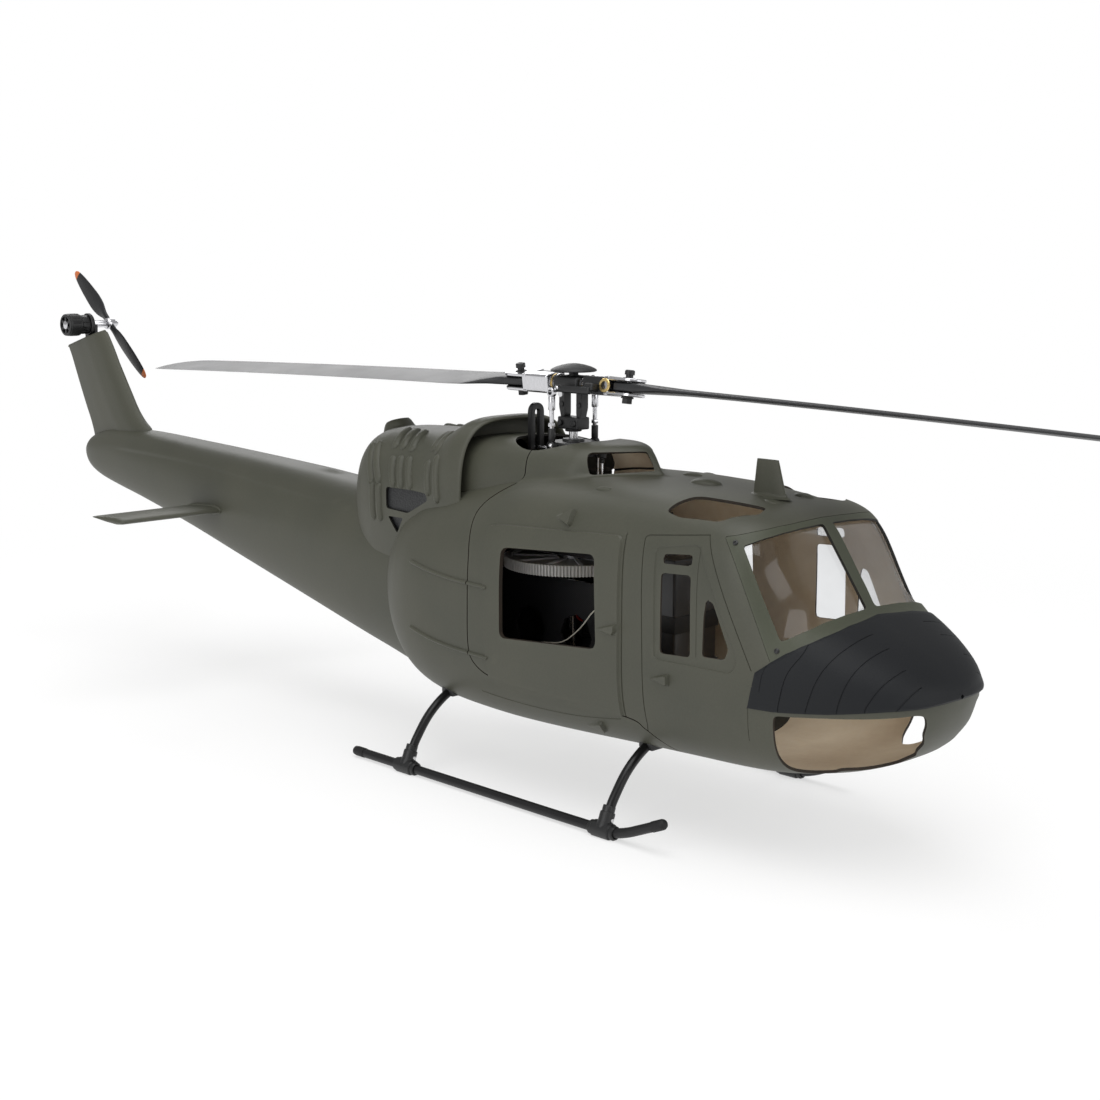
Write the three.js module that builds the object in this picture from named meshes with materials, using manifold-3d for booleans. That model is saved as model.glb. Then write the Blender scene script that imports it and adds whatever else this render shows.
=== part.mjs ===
// Scale model helicopter: hollow moulded fuselage on skids, removable cabin canopy, two-blade main
// rotor driven through a spur gear, and a tail rotor with its own motor.
// Units are millimetres. +Z is up, the nose points to -Y, the tail to +Y, +X is the port (left) side.
// Pieces are drawn about the main mast's axis, then moved by ORIGIN_Y so that the origin is the
// middle of the footprint at ground level.
import * as THREE from 'three';
import { mergeVertices } from 'three/addons/utils/BufferGeometryUtils.js';
import Module from 'manifold-3d';

const wasm = await Module();
wasm.setup();

// ---------------------------------------------------------------- shared dimensions
const ORIGIN_Y = 87.665;        // from the mast axis to the middle of the overall length
const WALL = 1.8;               // moulded shell thickness
const BOOM_WALL = 1.5;
const GAP = 0.35;               // clearance between neighbouring pieces
const CANOPY_GAP = 0.5;         // joint between canopy and rear fuselage
const MAST_R = 2.5;
const MAST_LOW_Z = 52;
const MAST_TOP_Z = 199;
const DECK_Z = [134.1, 136.1];  // servo deck, underside and top
const ON_DECK_Z = DECK_Z[1] + GAP;
const HEAD_Z = 216.5;           // feathering axis height
const HORN_X = 15.5;            // pitch horn ball, from the feathering axis
const TAIL_AXIS = [520, 231.6]; // tail rotor axis, y and z

const SIDES = [['right', -1], ['left', 1]];
const ROTOR_SIDES = [['a', 1], ['b', -1]];  // blade a points to the tail

// ---------------------------------------------------------------- hull stations
// Cabin: y, crown z, keel z, half width, z of the widest point, upper and lower roundness.
const CABIN = [
  [-251.0, 88.0, 86.5, 1.0, 87.3, 2.2, 2.2],
  [-250.2, 90.8, 79.0, 11.0, 86.6, 2.2, 2.2],
  [-248.0, 94.0, 72.5, 20.0, 86.0, 2.2, 2.3],
  [-244.0, 97.5, 66.0, 28.5, 85.5, 2.3, 2.4],
  [-238.0, 102.0, 59.5, 36.5, 85.0, 2.4, 2.6],
  [-230.0, 107.0, 54.0, 43.5, 85.0, 2.5, 2.8],
  [-220.0, 112.0, 49.5, 50.0, 85.0, 2.7, 3.0],
  [-210.0, 116.5, 46.5, 54.5, 85.5, 2.9, 3.2],
  [-202.0, 120.0, 44.8, 57.5, 86.0, 3.0, 3.3],
  [-196.0, 128.5, 43.6, 59.2, 87.0, 2.6, 3.4],
  [-190.0, 137.0, 42.6, 60.4, 88.0, 2.3, 3.5],
  [-182.0, 148.5, 41.4, 61.3, 90.0, 2.6, 3.6],
  [-174.0, 159.0, 40.4, 62.0, 92.0, 3.2, 3.6],
  [-168.0, 162.8, 39.8, 62.3, 94.0, 4.0, 3.6],
  [-162.0, 165.0, 39.3, 62.5, 95.0, 4.6, 3.6],
  [-150.0, 167.2, 38.6, 62.5, 96.0, 5.0, 3.6],
  [-130.0, 168.9, 37.8, 62.5, 97.0, 5.0, 3.6],
  [-100.0, 170.5, 36.5, 62.5, 98.0, 4.7, 3.6],
  [-60.0, 172.0, 34.5, 62.5, 99.0, 4.1, 3.6],
  [-20.0, 171.8, 32.6, 62.5, 99.0, 3.5, 3.5],
  [10.0, 169.6, 31.6, 62.4, 98.5, 3.0, 3.3],
  [40.0, 165.2, 31.3, 61.8, 98.0, 2.6, 3.0],
  [60.0, 161.5, 31.8, 61.0, 97.5, 2.45, 2.8],
  [75.0, 157.5, 33.0, 59.3, 97.5, 2.4, 2.6],
  [88.0, 152.5, 36.0, 56.0, 97.5, 2.3, 2.5],
  [96.0, 148.5, 39.5, 52.8, 97.5, 2.3, 2.4],
  [102.0, 144.5, 43.5, 49.5, 97.5, 2.2, 2.3],
  [107.0, 139.5, 48.5, 45.5, 97.0, 2.2, 2.3],
  [111.0, 133.0, 55.0, 40.5, 96.5, 2.2, 2.2],
  [114.0, 124.0, 65.0, 33.0, 95.5, 2.2, 2.2],
  [116.0, 108.0, 84.0, 14.0, 95.0, 2.2, 2.2],
];
// Tail boom, same columns.
const BOOM = [
  [60.0, 150.0, 31.6, 37.0, 96.0, 2.2, 2.3],
  [90.0, 148.0, 34.0, 37.0, 96.0, 2.2, 2.3],
  [115.0, 146.8, 38.6, 36.4, 97.0, 2.2, 2.3],
  [140.0, 146.4, 44.6, 35.4, 98.0, 2.2, 2.3],
  [160.0, 146.3, 49.0, 34.4, 99.0, 2.2, 2.3],
  [190.0, 147.0, 55.7, 32.4, 102.5, 2.2, 2.3],
  [230.0, 149.6, 64.7, 29.8, 108.5, 2.2, 2.3],
  [300.0, 153.2, 80.5, 25.6, 118.0, 2.2, 2.3],
  [368.0, 156.2, 96.0, 21.6, 127.0, 2.2, 2.3],
  [436.0, 158.5, 109.6, 17.5, 135.0, 2.2, 2.3],
  [470.0, 158.0, 115.3, 14.5, 138.0, 2.2, 2.3],
  [495.0, 153.5, 120.5, 11.5, 138.0, 2.2, 2.3],
  [510.0, 148.0, 126.5, 8.0, 138.0, 2.2, 2.3],
  [517.0, 142.0, 133.0, 4.0, 138.0, 2.2, 2.3],
];
// Upper cowl on the cabin roof (doghouse): y, top z, half width, roundness.
const DOGHOUSE = [
  [-70.0, 168.3, 3.0, 2.0],
  [-66.9, 172.2, 3.4, 2.0],
  [-64.5, 175.7, 3.8, 2.0],
  [-61.4, 180.1, 5.4, 2.1],
  [-57.4, 184.6, 9.0, 2.2],
  [-54.0, 186.6, 12.2, 2.4],
  [-50.0, 187.4, 16.2, 2.7],
  [-44.0, 187.6, 22.2, 3.1],
  [-36.0, 187.5, 29.3, 3.5],
  [-28.0, 187.4, 34.0, 3.7],
  [-10.0, 187.2, 35.8, 3.8],
  [10.0, 186.8, 36.6, 3.8],
  [35.0, 186.0, 37.2, 3.8],
  [70.0, 184.0, 37.4, 3.6],
];
// Engine cowl, same columns as the doghouse; the first rows are the intake hoop.
const ENGINE_COWL = [
  [45.0, 196.2, 44.6, 3.6],
  [54.0, 196.0, 45.2, 3.6],
  [64.0, 192.4, 44.6, 3.4],
  [74.0, 187.6, 43.2, 3.1],
  [84.0, 185.4, 42.2, 2.9],
  [110.0, 184.8, 41.6, 2.8],
  [130.0, 184.2, 39.8, 2.7],
  [143.0, 182.6, 36.0, 2.6],
  [153.0, 179.4, 30.8, 2.5],
  [161.0, 174.4, 24.0, 2.4],
  [167.0, 167.0, 15.6, 2.3],
  [171.0, 156.0, 6.0, 2.2],
];

// ---------------------------------------------------------------- curves and outlines
const vec = (x, y, z) => new THREE.Vector3(x, y, z);
const span = (half, centre = 0) => [centre - half, centre + half];
const signedPower = (base, exponent) => Math.sign(base) * Math.pow(Math.abs(base), exponent);
const mirrored = (outline, side) => outline.map(([x, y]) => [side * x, y]);

// Cubic through the points that never overshoots them.
function monotoneCubic(xs, ys) {
  const last = xs.length - 1;
  const steps = xs.slice(1).map((x, i) => x - xs[i]);
  const chords = steps.map((step, i) => (ys[i + 1] - ys[i]) / step);
  const slopes = new Array(last + 1).fill(0);
  for (let i = 1; i < last; i++) {
    if (chords[i - 1] * chords[i] > 0) {
      const before = 2 * steps[i] + steps[i - 1];
      const after = steps[i] + 2 * steps[i - 1];
      slopes[i] = (before + after) / (before / chords[i - 1] + after / chords[i]);
    }
  }
  slopes[0] = chords[0];
  slopes[last] = chords[last - 1];
  return (x) => {
    let i = 0;
    while (i < last - 1 && x > xs[i + 1]) i++;
    const t = (x - xs[i]) / steps[i];
    const t2 = t * t;
    const t3 = t2 * t;
    return ys[i] * (2 * t3 - 3 * t2 + 1) + slopes[i] * steps[i] * (t3 - 2 * t2 + t)
      + ys[i + 1] * (-2 * t3 + 3 * t2) + slopes[i + 1] * steps[i] * (t3 - t2);
  };
}

// Turns a station table into a function from y to the table's other columns.
function stationCurve(table) {
  const ys = table.map((row) => row[0]);
  const columns = table[0].slice(1).map((_, k) => monotoneCubic(ys, table.map((row) => row[k + 1])));
  return (y) => columns.map((column) => column(y));
}

function circle(cx, cy, radius, count) {
  return Array.from({ length: count }, (_, i) => {
    const angle = 2 * Math.PI * i / count;
    return [cx + radius * Math.cos(angle), cy + radius * Math.sin(angle)];
  });
}

// Rounds every corner with a parabola of the given number of steps.
function rounded(outline, radius, steps = 2) {
  const points = outline.map((p) => new THREE.Vector2(...p));
  return points.flatMap((corner, i) => {
    const toBefore = points.at(i - 1).clone().sub(corner);
    const toAfter = points[(i + 1) % points.length].clone().sub(corner);
    const reach = Math.min(radius, toBefore.length() * 0.45, toAfter.length() * 0.45);
    const start = corner.clone().add(toBefore.setLength(reach));
    const end = corner.clone().add(toAfter.setLength(reach));
    return Array.from({ length: steps + 1 }, (_, j) => {
      const t = j / steps;
      const blend = (axis) => (1 - t) ** 2 * start[axis] + 2 * t * (1 - t) * corner[axis]
        + t * t * end[axis];
      return [blend('x'), blend('y')];
    });
  });
}

// Closed ring around an aerofoil. The profile lists [place along the chord, share of half
// thickness]; an edge of no thickness is a single point.
function foilRing(profile, place) {
  const far = profile.filter(([, half]) => half > 0).reverse();
  return [...profile.map(([u, half]) => place(u, half)), ...far.map(([u, half]) => place(u, -half))];
}

// ---------------------------------------------------------------- geometry and solids
// Turns the faces outward where they enclose a negative volume.
function outward(geometry) {
  const index = geometry.index.array;
  const corner = (k) => vec().fromBufferAttribute(geometry.attributes.position, index[k]);
  let volume = 0;
  for (let k = 0; k < index.length; k += 3) {
    volume += corner(k).dot(corner(k + 1).cross(corner(k + 2)));
  }
  if (volume < 0) {
    for (let k = 0; k < index.length; k += 3) {
      [index[k + 1], index[k + 2]] = [index[k + 2], index[k + 1]];
    }
  }
  return geometry;
}

function merged(geometry) {
  const bare = geometry.clone();
  for (const key of Object.keys(bare.attributes)) {
    if (key !== 'position') bare.deleteAttribute(key);
  }
  return mergeVertices(bare, 1e-3);
}

function solid(geometry) {
  const { attributes, index } = merged(geometry);
  return new wasm.Manifold(new wasm.Mesh({
    numProp: 3,
    vertProperties: new Float32Array(attributes.position.array),
    triVerts: new Uint32Array(index.array),
  }));
}

function toGeometry(body) {
  const mesh = body.getMesh();
  const geometry = new THREE.BufferGeometry();
  const positions = new Float32Array(mesh.vertProperties);
  geometry.setAttribute('position', new THREE.BufferAttribute(positions, 3));
  geometry.setIndex(new THREE.BufferAttribute(new Uint32Array(mesh.triVerts), 1));
  return geometry;
}

const unite = (...bodies) => bodies.reduce((sum, body) => sum.add(body));
const cut = (body, ...tools) => tools.reduce((rest, tool) => rest.subtract(tool), body);
const biggest = (body) => body.decompose().sort((a, b) => b.volume() - a.volume())[0];

// Solid through rings of equal point count, closed at both ends by a fan about the centre.
function loft(rings) {
  const count = rings[0].length;
  const points = rings.flat();
  const triangles = [];
  for (let k = 0; k < rings.length - 1; k++) {
    for (let i = 0; i < count; i++) {
      const a = k * count + i;
      const b = k * count + (i + 1) % count;
      triangles.push(a, b, b + count, a, b + count, a + count);
    }
  }
  for (const k of [0, rings.length - 1]) {
    const centre = [0, 1, 2].map((axis) => rings[k].reduce((sum, p) => sum + p[axis] / count, 0));
    const id = points.push(centre) - 1;
    for (let i = 0; i < count; i++) {
      const a = k * count + i;
      const b = k * count + (i + 1) % count;
      triangles.push(id, ...(k === 0 ? [b, a] : [a, b]));
    }
  }
  const geometry = new THREE.BufferGeometry();
  geometry.setAttribute('position', new THREE.Float32BufferAttribute(points.flat(), 3));
  geometry.setIndex(triangles);
  return solid(outward(geometry));
}

// Box from three ranges, whose ends may come in either order.
function box(xs, ys, zs) {
  const ranges = [xs, ys, zs];
  const size = ranges.map(([a, b]) => Math.abs(b - a));
  const centre = ranges.map(([a, b]) => (a + b) / 2);
  return solid(new THREE.BoxGeometry(...size).translate(...centre));
}

function facetsFor(radius) {
  if (radius <= 2.3) return 8;
  if (radius < 9) return 14;
  return radius < 20 ? 20 : 36;
}

function rod(from, to, radius, facets = facetsFor(radius)) {
  const start = vec(...from);
  const end = vec(...to);
  const along = end.clone().sub(start);
  const geometry = new THREE.CylinderGeometry(radius, radius, along.length(), facets);
  geometry.applyQuaternion(
    new THREE.Quaternion().setFromUnitVectors(vec(0, 1, 0), along.normalize()));
  const middle = start.add(end).multiplyScalar(0.5);
  return solid(geometry.translate(middle.x, middle.y, middle.z));
}
const rodX = ([x0, x1], radius, [y, z] = [0, 0]) => rod([x0, y, z], [x1, y, z], radius);
const rodZ = ([z0, z1], radius, [x, y] = [0, 0], facets = undefined) =>
  rod([x, y, z0], [x, y, z1], radius, facets);
// Tools for holes right through a piece.
const boreX = (radius, at) => rodX(span(50), radius, at);
const boreZ = (radius, at) => rodZ(span(250), radius, at);

function extruded(outline, depth) {
  const shape = new THREE.Shape(outline.map((p) => new THREE.Vector2(...p)));
  return new THREE.ExtrudeGeometry(shape, { depth, bevelEnabled: false });
}
const basis = (u, v, w) => new THREE.Matrix4().makeBasis(vec(...u), vec(...v), vec(...w));
// Prisms along X, Y and Z of outlines given as (y, z), (x, z) and (x, y).
function prismX(outline, x0, x1) {
  const turn = basis([0, 1, 0], [0, 0, 1], [1, 0, 0]);
  return solid(extruded(outline, x1 - x0).applyMatrix4(turn).translate(x0, 0, 0));
}
function prismY(outline, y0, y1) {
  const turn = basis([1, 0, 0], [0, 0, 1], [0, -1, 0]);
  return solid(extruded(outline, y1 - y0).applyMatrix4(turn).translate(0, y1, 0));
}
function prismZ(outline, z0, z1) {
  return solid(extruded(outline, z1 - z0).translate(0, 0, z0));
}
const acrossX = (outline) => prismX(outline, -120, 120);
// Prism on one side only, between two distances from the middle plane.
const sidePrism = (outline, side, near, far) =>
  prismX(outline, ...(side > 0 ? [near, far] : [-far, -near]));

// Round tube along a smooth path.
function tube(path, radius, steps) {
  const curve = new THREE.CatmullRomCurve3(path.map((p) => vec(...p)), false, 'centripetal');
  const section = new THREE.Shape(circle(0, 0, radius, 8).map((p) => new THREE.Vector2(...p)));
  section.closePath();
  return new THREE.ExtrudeGeometry(section, { steps, extrudePath: curve, bevelEnabled: false });
}

// Turned geometry about +Z from a profile of radius and height.
function turned(profile, segments) {
  const points = profile.map((p) => new THREE.Vector2(...p));
  const geometry = new THREE.LatheGeometry(points, segments);
  return outward(merged(geometry.rotateX(Math.PI / 2)));
}

// ---------------------------------------------------------------- meshes
const FINISH = {
  olive: { color: 0x50513f, roughness: 0.75 },
  oliveDark: { color: 0x4a4b3b, roughness: 0.75 },
  black: { color: 0x1b1c1e, roughness: 0.6 },
  satin: { color: 0x141416, roughness: 0.35 },
  steel: { color: 0xb8bcc0, roughness: 0.3, metalness: 1 },
  silver: { color: 0xc9ccd2, roughness: 0.25, metalness: 1 },
  white: { color: 0xcfd2d4, roughness: 0.5 },
  brass: { color: 0xc8a24a, roughness: 0.35, metalness: 1 },
  glass: { color: 0xa9adb0, roughness: 0.1 },
  copper: { color: 0xb46a3c, roughness: 0.4, metalness: 1 },
  blade: { color: 0x2b2c2f, roughness: 0.35 },
  carbon: { color: 0x202225, roughness: 0.45 },
  grey: { color: 0x6c7074, roughness: 0.5 },
  blue: { color: 0x2b3f66, roughness: 0.5 },
};

const root = new THREE.Group();
root.position.set(0, -ORIGIN_Y, 0);

function addMesh(name, geometry, finish, parent = root) {
  const mesh = new THREE.Mesh(geometry, new THREE.MeshStandardMaterial(FINISH[finish]));
  mesh.name = name;
  parent.add(mesh);
}

// Adds the largest connected body. Rounding to single precision can split off new slivers,
// so the geometry is read back and trimmed again.
function addSolid(name, body, finish, parent) {
  let geometry = toGeometry(biggest(body));
  for (let k = 0; k < 3; k++) {
    const readBack = solid(geometry);
    if (readBack.decompose().length === 1) break;
    geometry = toGeometry(biggest(readBack));
  }
  addMesh(name, geometry, finish, parent);
}

// ---------------------------------------------------------------- hull volumes
const cabinAt = stationCurve(CABIN);
const boomAt = stationCurve(BOOM);

const CABIN_RINGS_Y = [-251, -249.6, -245, -237, -226, -213, -202, -190, -174, -166, -152, -112,
  -60, -10, 34, 62, 80, 94, 104, 111, 115, 116];
const BOOM_RINGS_Y = [60, 115, 160, 220, 330, 436, 475, 500, 512, 517];
const BOOM_HOLLOW_END_Y = 436;
const DOGHOUSE_RINGS_Y = [-70, -66.5, -62, -57, -51, -44, -34, -10, 30, 70];
const COWL_RINGS_Y = [56, 66, 78, 110, 132, 148, 160, 167, 171];
const COWL_FRONT_Y = 45;
const COWL_HOLLOW_Y = 76;       // front of the engine cowl's inner space
const ARCH_STEPS = 10;

// Arched cowls stand on a base plane; their side walls run on down to the floor,
// where the width is multiplied by floorWidth.
const DOGHOUSE_ARCH = { at: stationCurve(DOGHOUSE), base: 150, floor: 142, floorWidth: 1 };
const COWL_ARCH = { at: stationCurve(ENGINE_COWL), base: 140, floor: 114, floorWidth: 0.84 };

function hullRing(at, y, inset, count, placedY = y) {
  const [crownZ, keelZ, halfWidth, wideZ, upperRound, lowerRound] = at(y);
  const width = Math.max(0.3, halfWidth - inset);
  const upper = Math.max(0.2, crownZ - wideZ - inset);
  const lower = Math.max(0.2, wideZ - keelZ - inset);
  return Array.from({ length: count }, (_, i) => {
    const angle = (i / count) * 2 * Math.PI;
    const sine = Math.sin(angle);
    const exponent = 2 / (sine >= 0 ? upperRound : lowerRound);
    const height = (sine >= 0 ? upper : lower) * signedPower(sine, exponent);
    return [width * signedPower(Math.cos(angle), exponent), placedY, wideZ + height];
  });
}

function archRing({ at, base, floor, floorWidth }, y, inset, placedY = y) {
  const [topZ, halfWidth, roundness] = at(y);
  const width = Math.max(0.3, halfWidth - inset);
  const height = Math.max(0.3, topZ - base - inset);
  const exponent = 2 / roundness;
  const ring = [];
  for (let i = 0; i <= ARCH_STEPS; i++) {
    const angle = (i / ARCH_STEPS) * Math.PI;
    const rise = height * Math.pow(Math.abs(Math.sin(angle)), exponent);
    ring.push([width * signedPower(Math.cos(angle), exponent), placedY, base + rise]);
  }
  ring.push([-width * floorWidth, placedY, floor], [width * floorWidth, placedY, floor]);
  return ring;
}

// Each volume is shrunk by the inset, or grown where it is negative.
function cabin(inset) {
  const shift = (y) => {
    if (y < -202) return inset * Math.min(1, (-202 - y) / 40);
    if (y > 96) return -inset * Math.min(1, (y - 96) / 16);
    return 0;
  };
  return loft(CABIN_RINGS_Y.map((y) => hullRing(cabinAt, y, inset, 18, y + shift(y))));
}
function boom(inset, endY = Infinity) {
  const ys = BOOM_RINGS_Y.filter((y) => y <= endY);
  return loft(ys.map((y) => hullRing(boomAt, y, inset, 16)));
}
function doghouse(inset) {
  return loft(DOGHOUSE_RINGS_Y.map(
    (y) => archRing(DOGHOUSE_ARCH, y, inset, y < -50 ? y + inset : y)));
}
function engineCowl(inset, frontY) {
  const ys = [frontY, ...COWL_RINGS_Y.filter((y) => y > frontY + 2)];
  return loft(ys.map((y) => archRing(COWL_ARCH, y, inset, y > 150 ? y - inset : y)));
}

const cabinOuter = cabin(0);
const cabinInner = cabin(WALL);
const doghouseOuter = doghouse(0);
const doghouseInner = doghouse(WALL);
const boomGrown = boom(-GAP);
const hullGrown = cabin(-GAP).add(boomGrown);
const cowlInner = engineCowl(WALL, COWL_HOLLOW_Y);
const mastOpening = prismZ(circle(0, 4, 29, 20), 176, 215);   // round hole in the doghouse top

// Seam between the canopy and the rear fuselage, from top to bottom (y, z).
const SEAM = [
  [-1.5, 240], [-1.5, 180], [0.5, 171], [4, 166.5], [13, 159.4], [19, 153.5], [21.8, 147],
  [21.2, 139], [18.9, 124.5], [18.5, 100], [18.8, 79], [17.4, 70.5], [12, 65.2], [3, 61.9],
  [-97, 58.5], [-108, 54], [-119, 44], [-124, 34], [-126, 10],
];
// The same line moved back by the joint gap.
const REAR_SEAM = SEAM.map(([y, z], i) => {
  const before = SEAM[Math.max(0, i - 1)];
  const after = SEAM[Math.min(SEAM.length - 1, i + 1)];
  const along = [after[0] - before[0], after[1] - before[1]];
  const length = Math.hypot(...along);
  return [y - along[1] / length * CANOPY_GAP, z + along[0] / length * CANOPY_GAP];
});
const aheadOfSeam = acrossX([[-400, 10], [-400, 240], ...SEAM]);
const behindSeam = acrossX([...REAR_SEAM, [700, 10], [700, 240]]);

// ---------------------------------------------------------------- canopy
// Side windows (y, z), cut through both sides.
const SIDE_WINDOWS = [
  rounded([[-8, 134], [-77.5, 139], [-79.5, 91], [-8, 85.5]], 4),
  rounded([[-121.6, 135.7], [-140.4, 136.7], [-141, 97], [-121.6, 95.9]], 2.5),
  rounded([[-149.2, 118.3], [-150.6, 126.2], [-154.4, 125.6], [-164.6, 104.7], [-162.5, 99.6],
    [-148.6, 98.9]], 1.5),
  rounded([[-122.2, 144.9], [-140.2, 146.6], [-140.4, 141.2], [-122.2, 140.2]], 2),
];
// Left roof light (x, y).
const ROOF_LIGHT = rounded([[28.5, -119.5], [50.5, -114.5], [52.3, -126], [50, -148],
  [34, -158.5], [22.5, -154]], 3);
// Chin and doghouse windows (y, z), which leave the wall near the middle plane standing.
const CHIN_WINDOW = rounded([[-190.6, 77.6], [-237, 80.9], [-247.2, 81.9], [-246.6, 74],
  [-240, 61.5], [-228, 53], [-217, 51], [-205, 47.6], [-191, 47.6], [-190.2, 58]], 3);
const DOGHOUSE_WINDOW = rounded([[-34, 183.4], [-57.4, 184.2], [-64.3, 174.6], [-38.5, 171.6]], 2);
// Nose cover outline (y, z).
const NOSE_COVER = [
  [-176.5, 79.1], [-190.7, 79.4], [-215, 81.4], [-237, 84.1], [-247, 84.9], [-252, 86.2],
  [-300, 88.5], [-300, 140], [-214.2, 139], [-207.6, 117.6], [-193.2, 104.2], [-177.0, 93.0],
];

// Windscreen plane: origin low on the screen, then its slope and outward directions.
const SCREEN = { origin: [0, -190, 107.6], slope: [0, 0.5134, 0.8582], out: [0, -0.8582, 0.5134] };
// Outlines in that plane: x, distance up the slope.
const SCREEN_OPENING = [[-61, -4], [0, 2.0], [61, -4], [56.5, 58], [0, 59.5], [-56.5, 58]];
const SCREEN_FRAME = [[-60.5, -3.5], [0, 2.5], [60.5, -3.5], [56, 57.5], [0, 59], [-56, 57.5]];
const SCREEN_SHEET = [[-57.5, -5.5], [0, 0.5], [57.5, -5.5], [54, 56], [0, 58], [-54, 56]];
const LEFT_PANE = rounded([[2.2, 7], [50.5, 2.2], [47, 51.5], [2.2, 52.8]], 3);

function screenPrism(outline, inner = -24, outer = 40) {
  const place = basis([1, 0, 0], SCREEN.slope, SCREEN.out).setPosition(...SCREEN.origin);
  return solid(extruded(outline, outer - inner).translate(0, 0, inner).applyMatrix4(place));
}

function canopy() {
  const shell = cut(cabinOuter.add(doghouseOuter), cabinInner.add(doghouseInner))
    .intersect(aheadOfSeam);
  const sideOpenings = SIDES.flatMap(([, side]) => [
    prismZ(mirrored(ROOF_LIGHT, side), 150, 200),
    sidePrism(CHIN_WINDOW, side, 8, 90),
    sidePrism(DOGHOUSE_WINDOW, side, 2.4, 60),
  ]);
  return cut(shell, ...SIDE_WINDOWS.map(acrossX), ...sideOpenings, mastOpening,
    screenPrism(SCREEN_OPENING));
}

function windshieldFrame() {
  const panes = SIDES.map(([, side]) => screenPrism(mirrored(LEFT_PANE, side), -60, 60));
  return cut(cut(cabinOuter, cabin(1.5)).intersect(screenPrism(SCREEN_FRAME)), ...panes);
}

// Clear sheet under the frame, lapping the canopy wall from inside.
function windshield() {
  return cut(cabin(2.15), cabin(3.1)).intersect(screenPrism(SCREEN_SHEET));
}

function roofAntenna() {
  const ring = (x, [rearY, rearZ], [frontY, frontZ]) =>
    [[-x, rearY, rearZ], [-x, frontY, frontZ], [x, frontY, frontZ], [x, rearY, rearZ]];
  return loft([
    ring(1.6, [-128.0, 170.3], [-148.0, 169.0]),
    ring(1.1, [-129.6, 187.4], [-143.2, 186.4]),
  ]);
}

addSolid('canopy', canopy(), 'olive');
addSolid('windshield_frame', windshieldFrame(), 'oliveDark');
addSolid('windshield', windshield(), 'glass');
addSolid('nose_cover', cut(cabin(-1.1), cabin(-0.3)).intersect(acrossX(NOSE_COVER)), 'black');
addSolid('roof_antenna', roofAntenna(), 'olive');

// ---------------------------------------------------------------- landing gear dimensions
const SKID_X = 75;              // half the skid track
const SKID_Z = 3.4;             // centre height of the skid tubes
const SKID_R = 2.7;
const SKID_STEPS = 11;
const CROSS_R = 2.5;
const CROSS_STEPS = 12;
const CROSS_TUBES = [['front', -97], ['rear', 56]];   // name, y

const skidPath = (side) => [
  [101.4, SKID_Z], [40, SKID_Z], [-60, SKID_Z], [-105, SKID_Z + 0.2], [-112, SKID_Z + 2],
  [-137.3, 16.1],
].map(([y, z]) => [side * SKID_X, y, z]);
// Left half of a cross tube, from the middle down to the skid (x, z).
const CROSS_HALF = [[0, 46], [22, 45.8], [42, 41.2], [57, 31.4], [67.5, 18.4], [72.6, 8.9]];
const crossPath = (y) => [
  ...CROSS_HALF.slice(1).map(([x, z]) => [x, y, z]).reverse(),
  ...CROSS_HALF.map(([x, z]) => [-x, y, z]),
];
const skidTube = (side, grow = 0) => tube(skidPath(side), SKID_R + grow, SKID_STEPS);
const crossTube = (y, grow = 0) => tube(crossPath(y), CROSS_R + grow, CROSS_STEPS);

// ---------------------------------------------------------------- rear fuselage with boom and fin
const FIN_PROFILE = [[0, 0], [0.06, 0.62], [0.2, 0.98], [0.4, 1], [0.7, 0.66], [0.92, 0.3], [1, 0.16]];
// Level fin sections: z, leading y, trailing y, half thickness.
const FIN = [
  [134, 445, 507, 5.5], [150, 436, 509.5, 6.6], [158, 431, 512.5, 6.8], [163, 438, 515, 6.6],
  [170, 446, 519, 6.3], [185, 457.5, 527, 5.9], [205, 472, 537, 5.4],
];
const finRing = (zAt, y0, y1, half) => foilRing(FIN_PROFILE, (u, share) => {
  const y = y0 + u * (y1 - y0);
  return [half * share, y, zAt(y)];
});
const fin = loft([
  ...FIN.map(([z, ...section]) => finRing(() => z, ...section)),
  finRing((y) => 228.6 - (y - 489) * 0.24, 488.6, 543.5, 4.9),   // top edge, falling aft
]);

const STAB_Z = 115.5;
const STAB_TONGUE_Y = 323;      // middle of the tongues and their sockets

function rearFuselage() {
  const inner = cabinInner.add(boom(BOOM_WALL, BOOM_HOLLOW_END_Y));
  const shell = cut(cabinOuter.add(boom(0)), inner).intersect(behindSeam).add(fin);
  const roofHole = prismZ(rounded([[-29, -20], [29, -20], [29, 42], [-29, 42]], 8), 150, 200);
  const crossHoles = CROSS_TUBES.map(([, y]) => solid(crossTube(y, 0.45)));
  const stabilizerSocket = box(span(60), span(5, STAB_TONGUE_Y), span(3, STAB_Z));
  return cut(shell, roofHole, ...crossHoles, stabilizerSocket);
}
addSolid('rear_fuselage', rearFuselage(), 'olive');

// ---------------------------------------------------------------- engine cowl and grilles
// Outlines (y, z).
const COWL_VENTS = [
  rounded([[73, 150], [112, 152], [111, 139.5], [96, 136.5], [75, 145.5]], 2),
  rounded([[97, 133.8], [110.5, 134.6], [104.5, 126.5]], 1.5),
];
const GRILLE = rounded([[84, 154], [115, 156], [114, 131], [104, 122], [92, 131], [84, 140]], 2);
const DOME_PROFILE = [[0, -6], [9.5, -6], [9.5, 1.0], [8.0, 3.4], [5.5, 4.6], [0, 4.8]];

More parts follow.
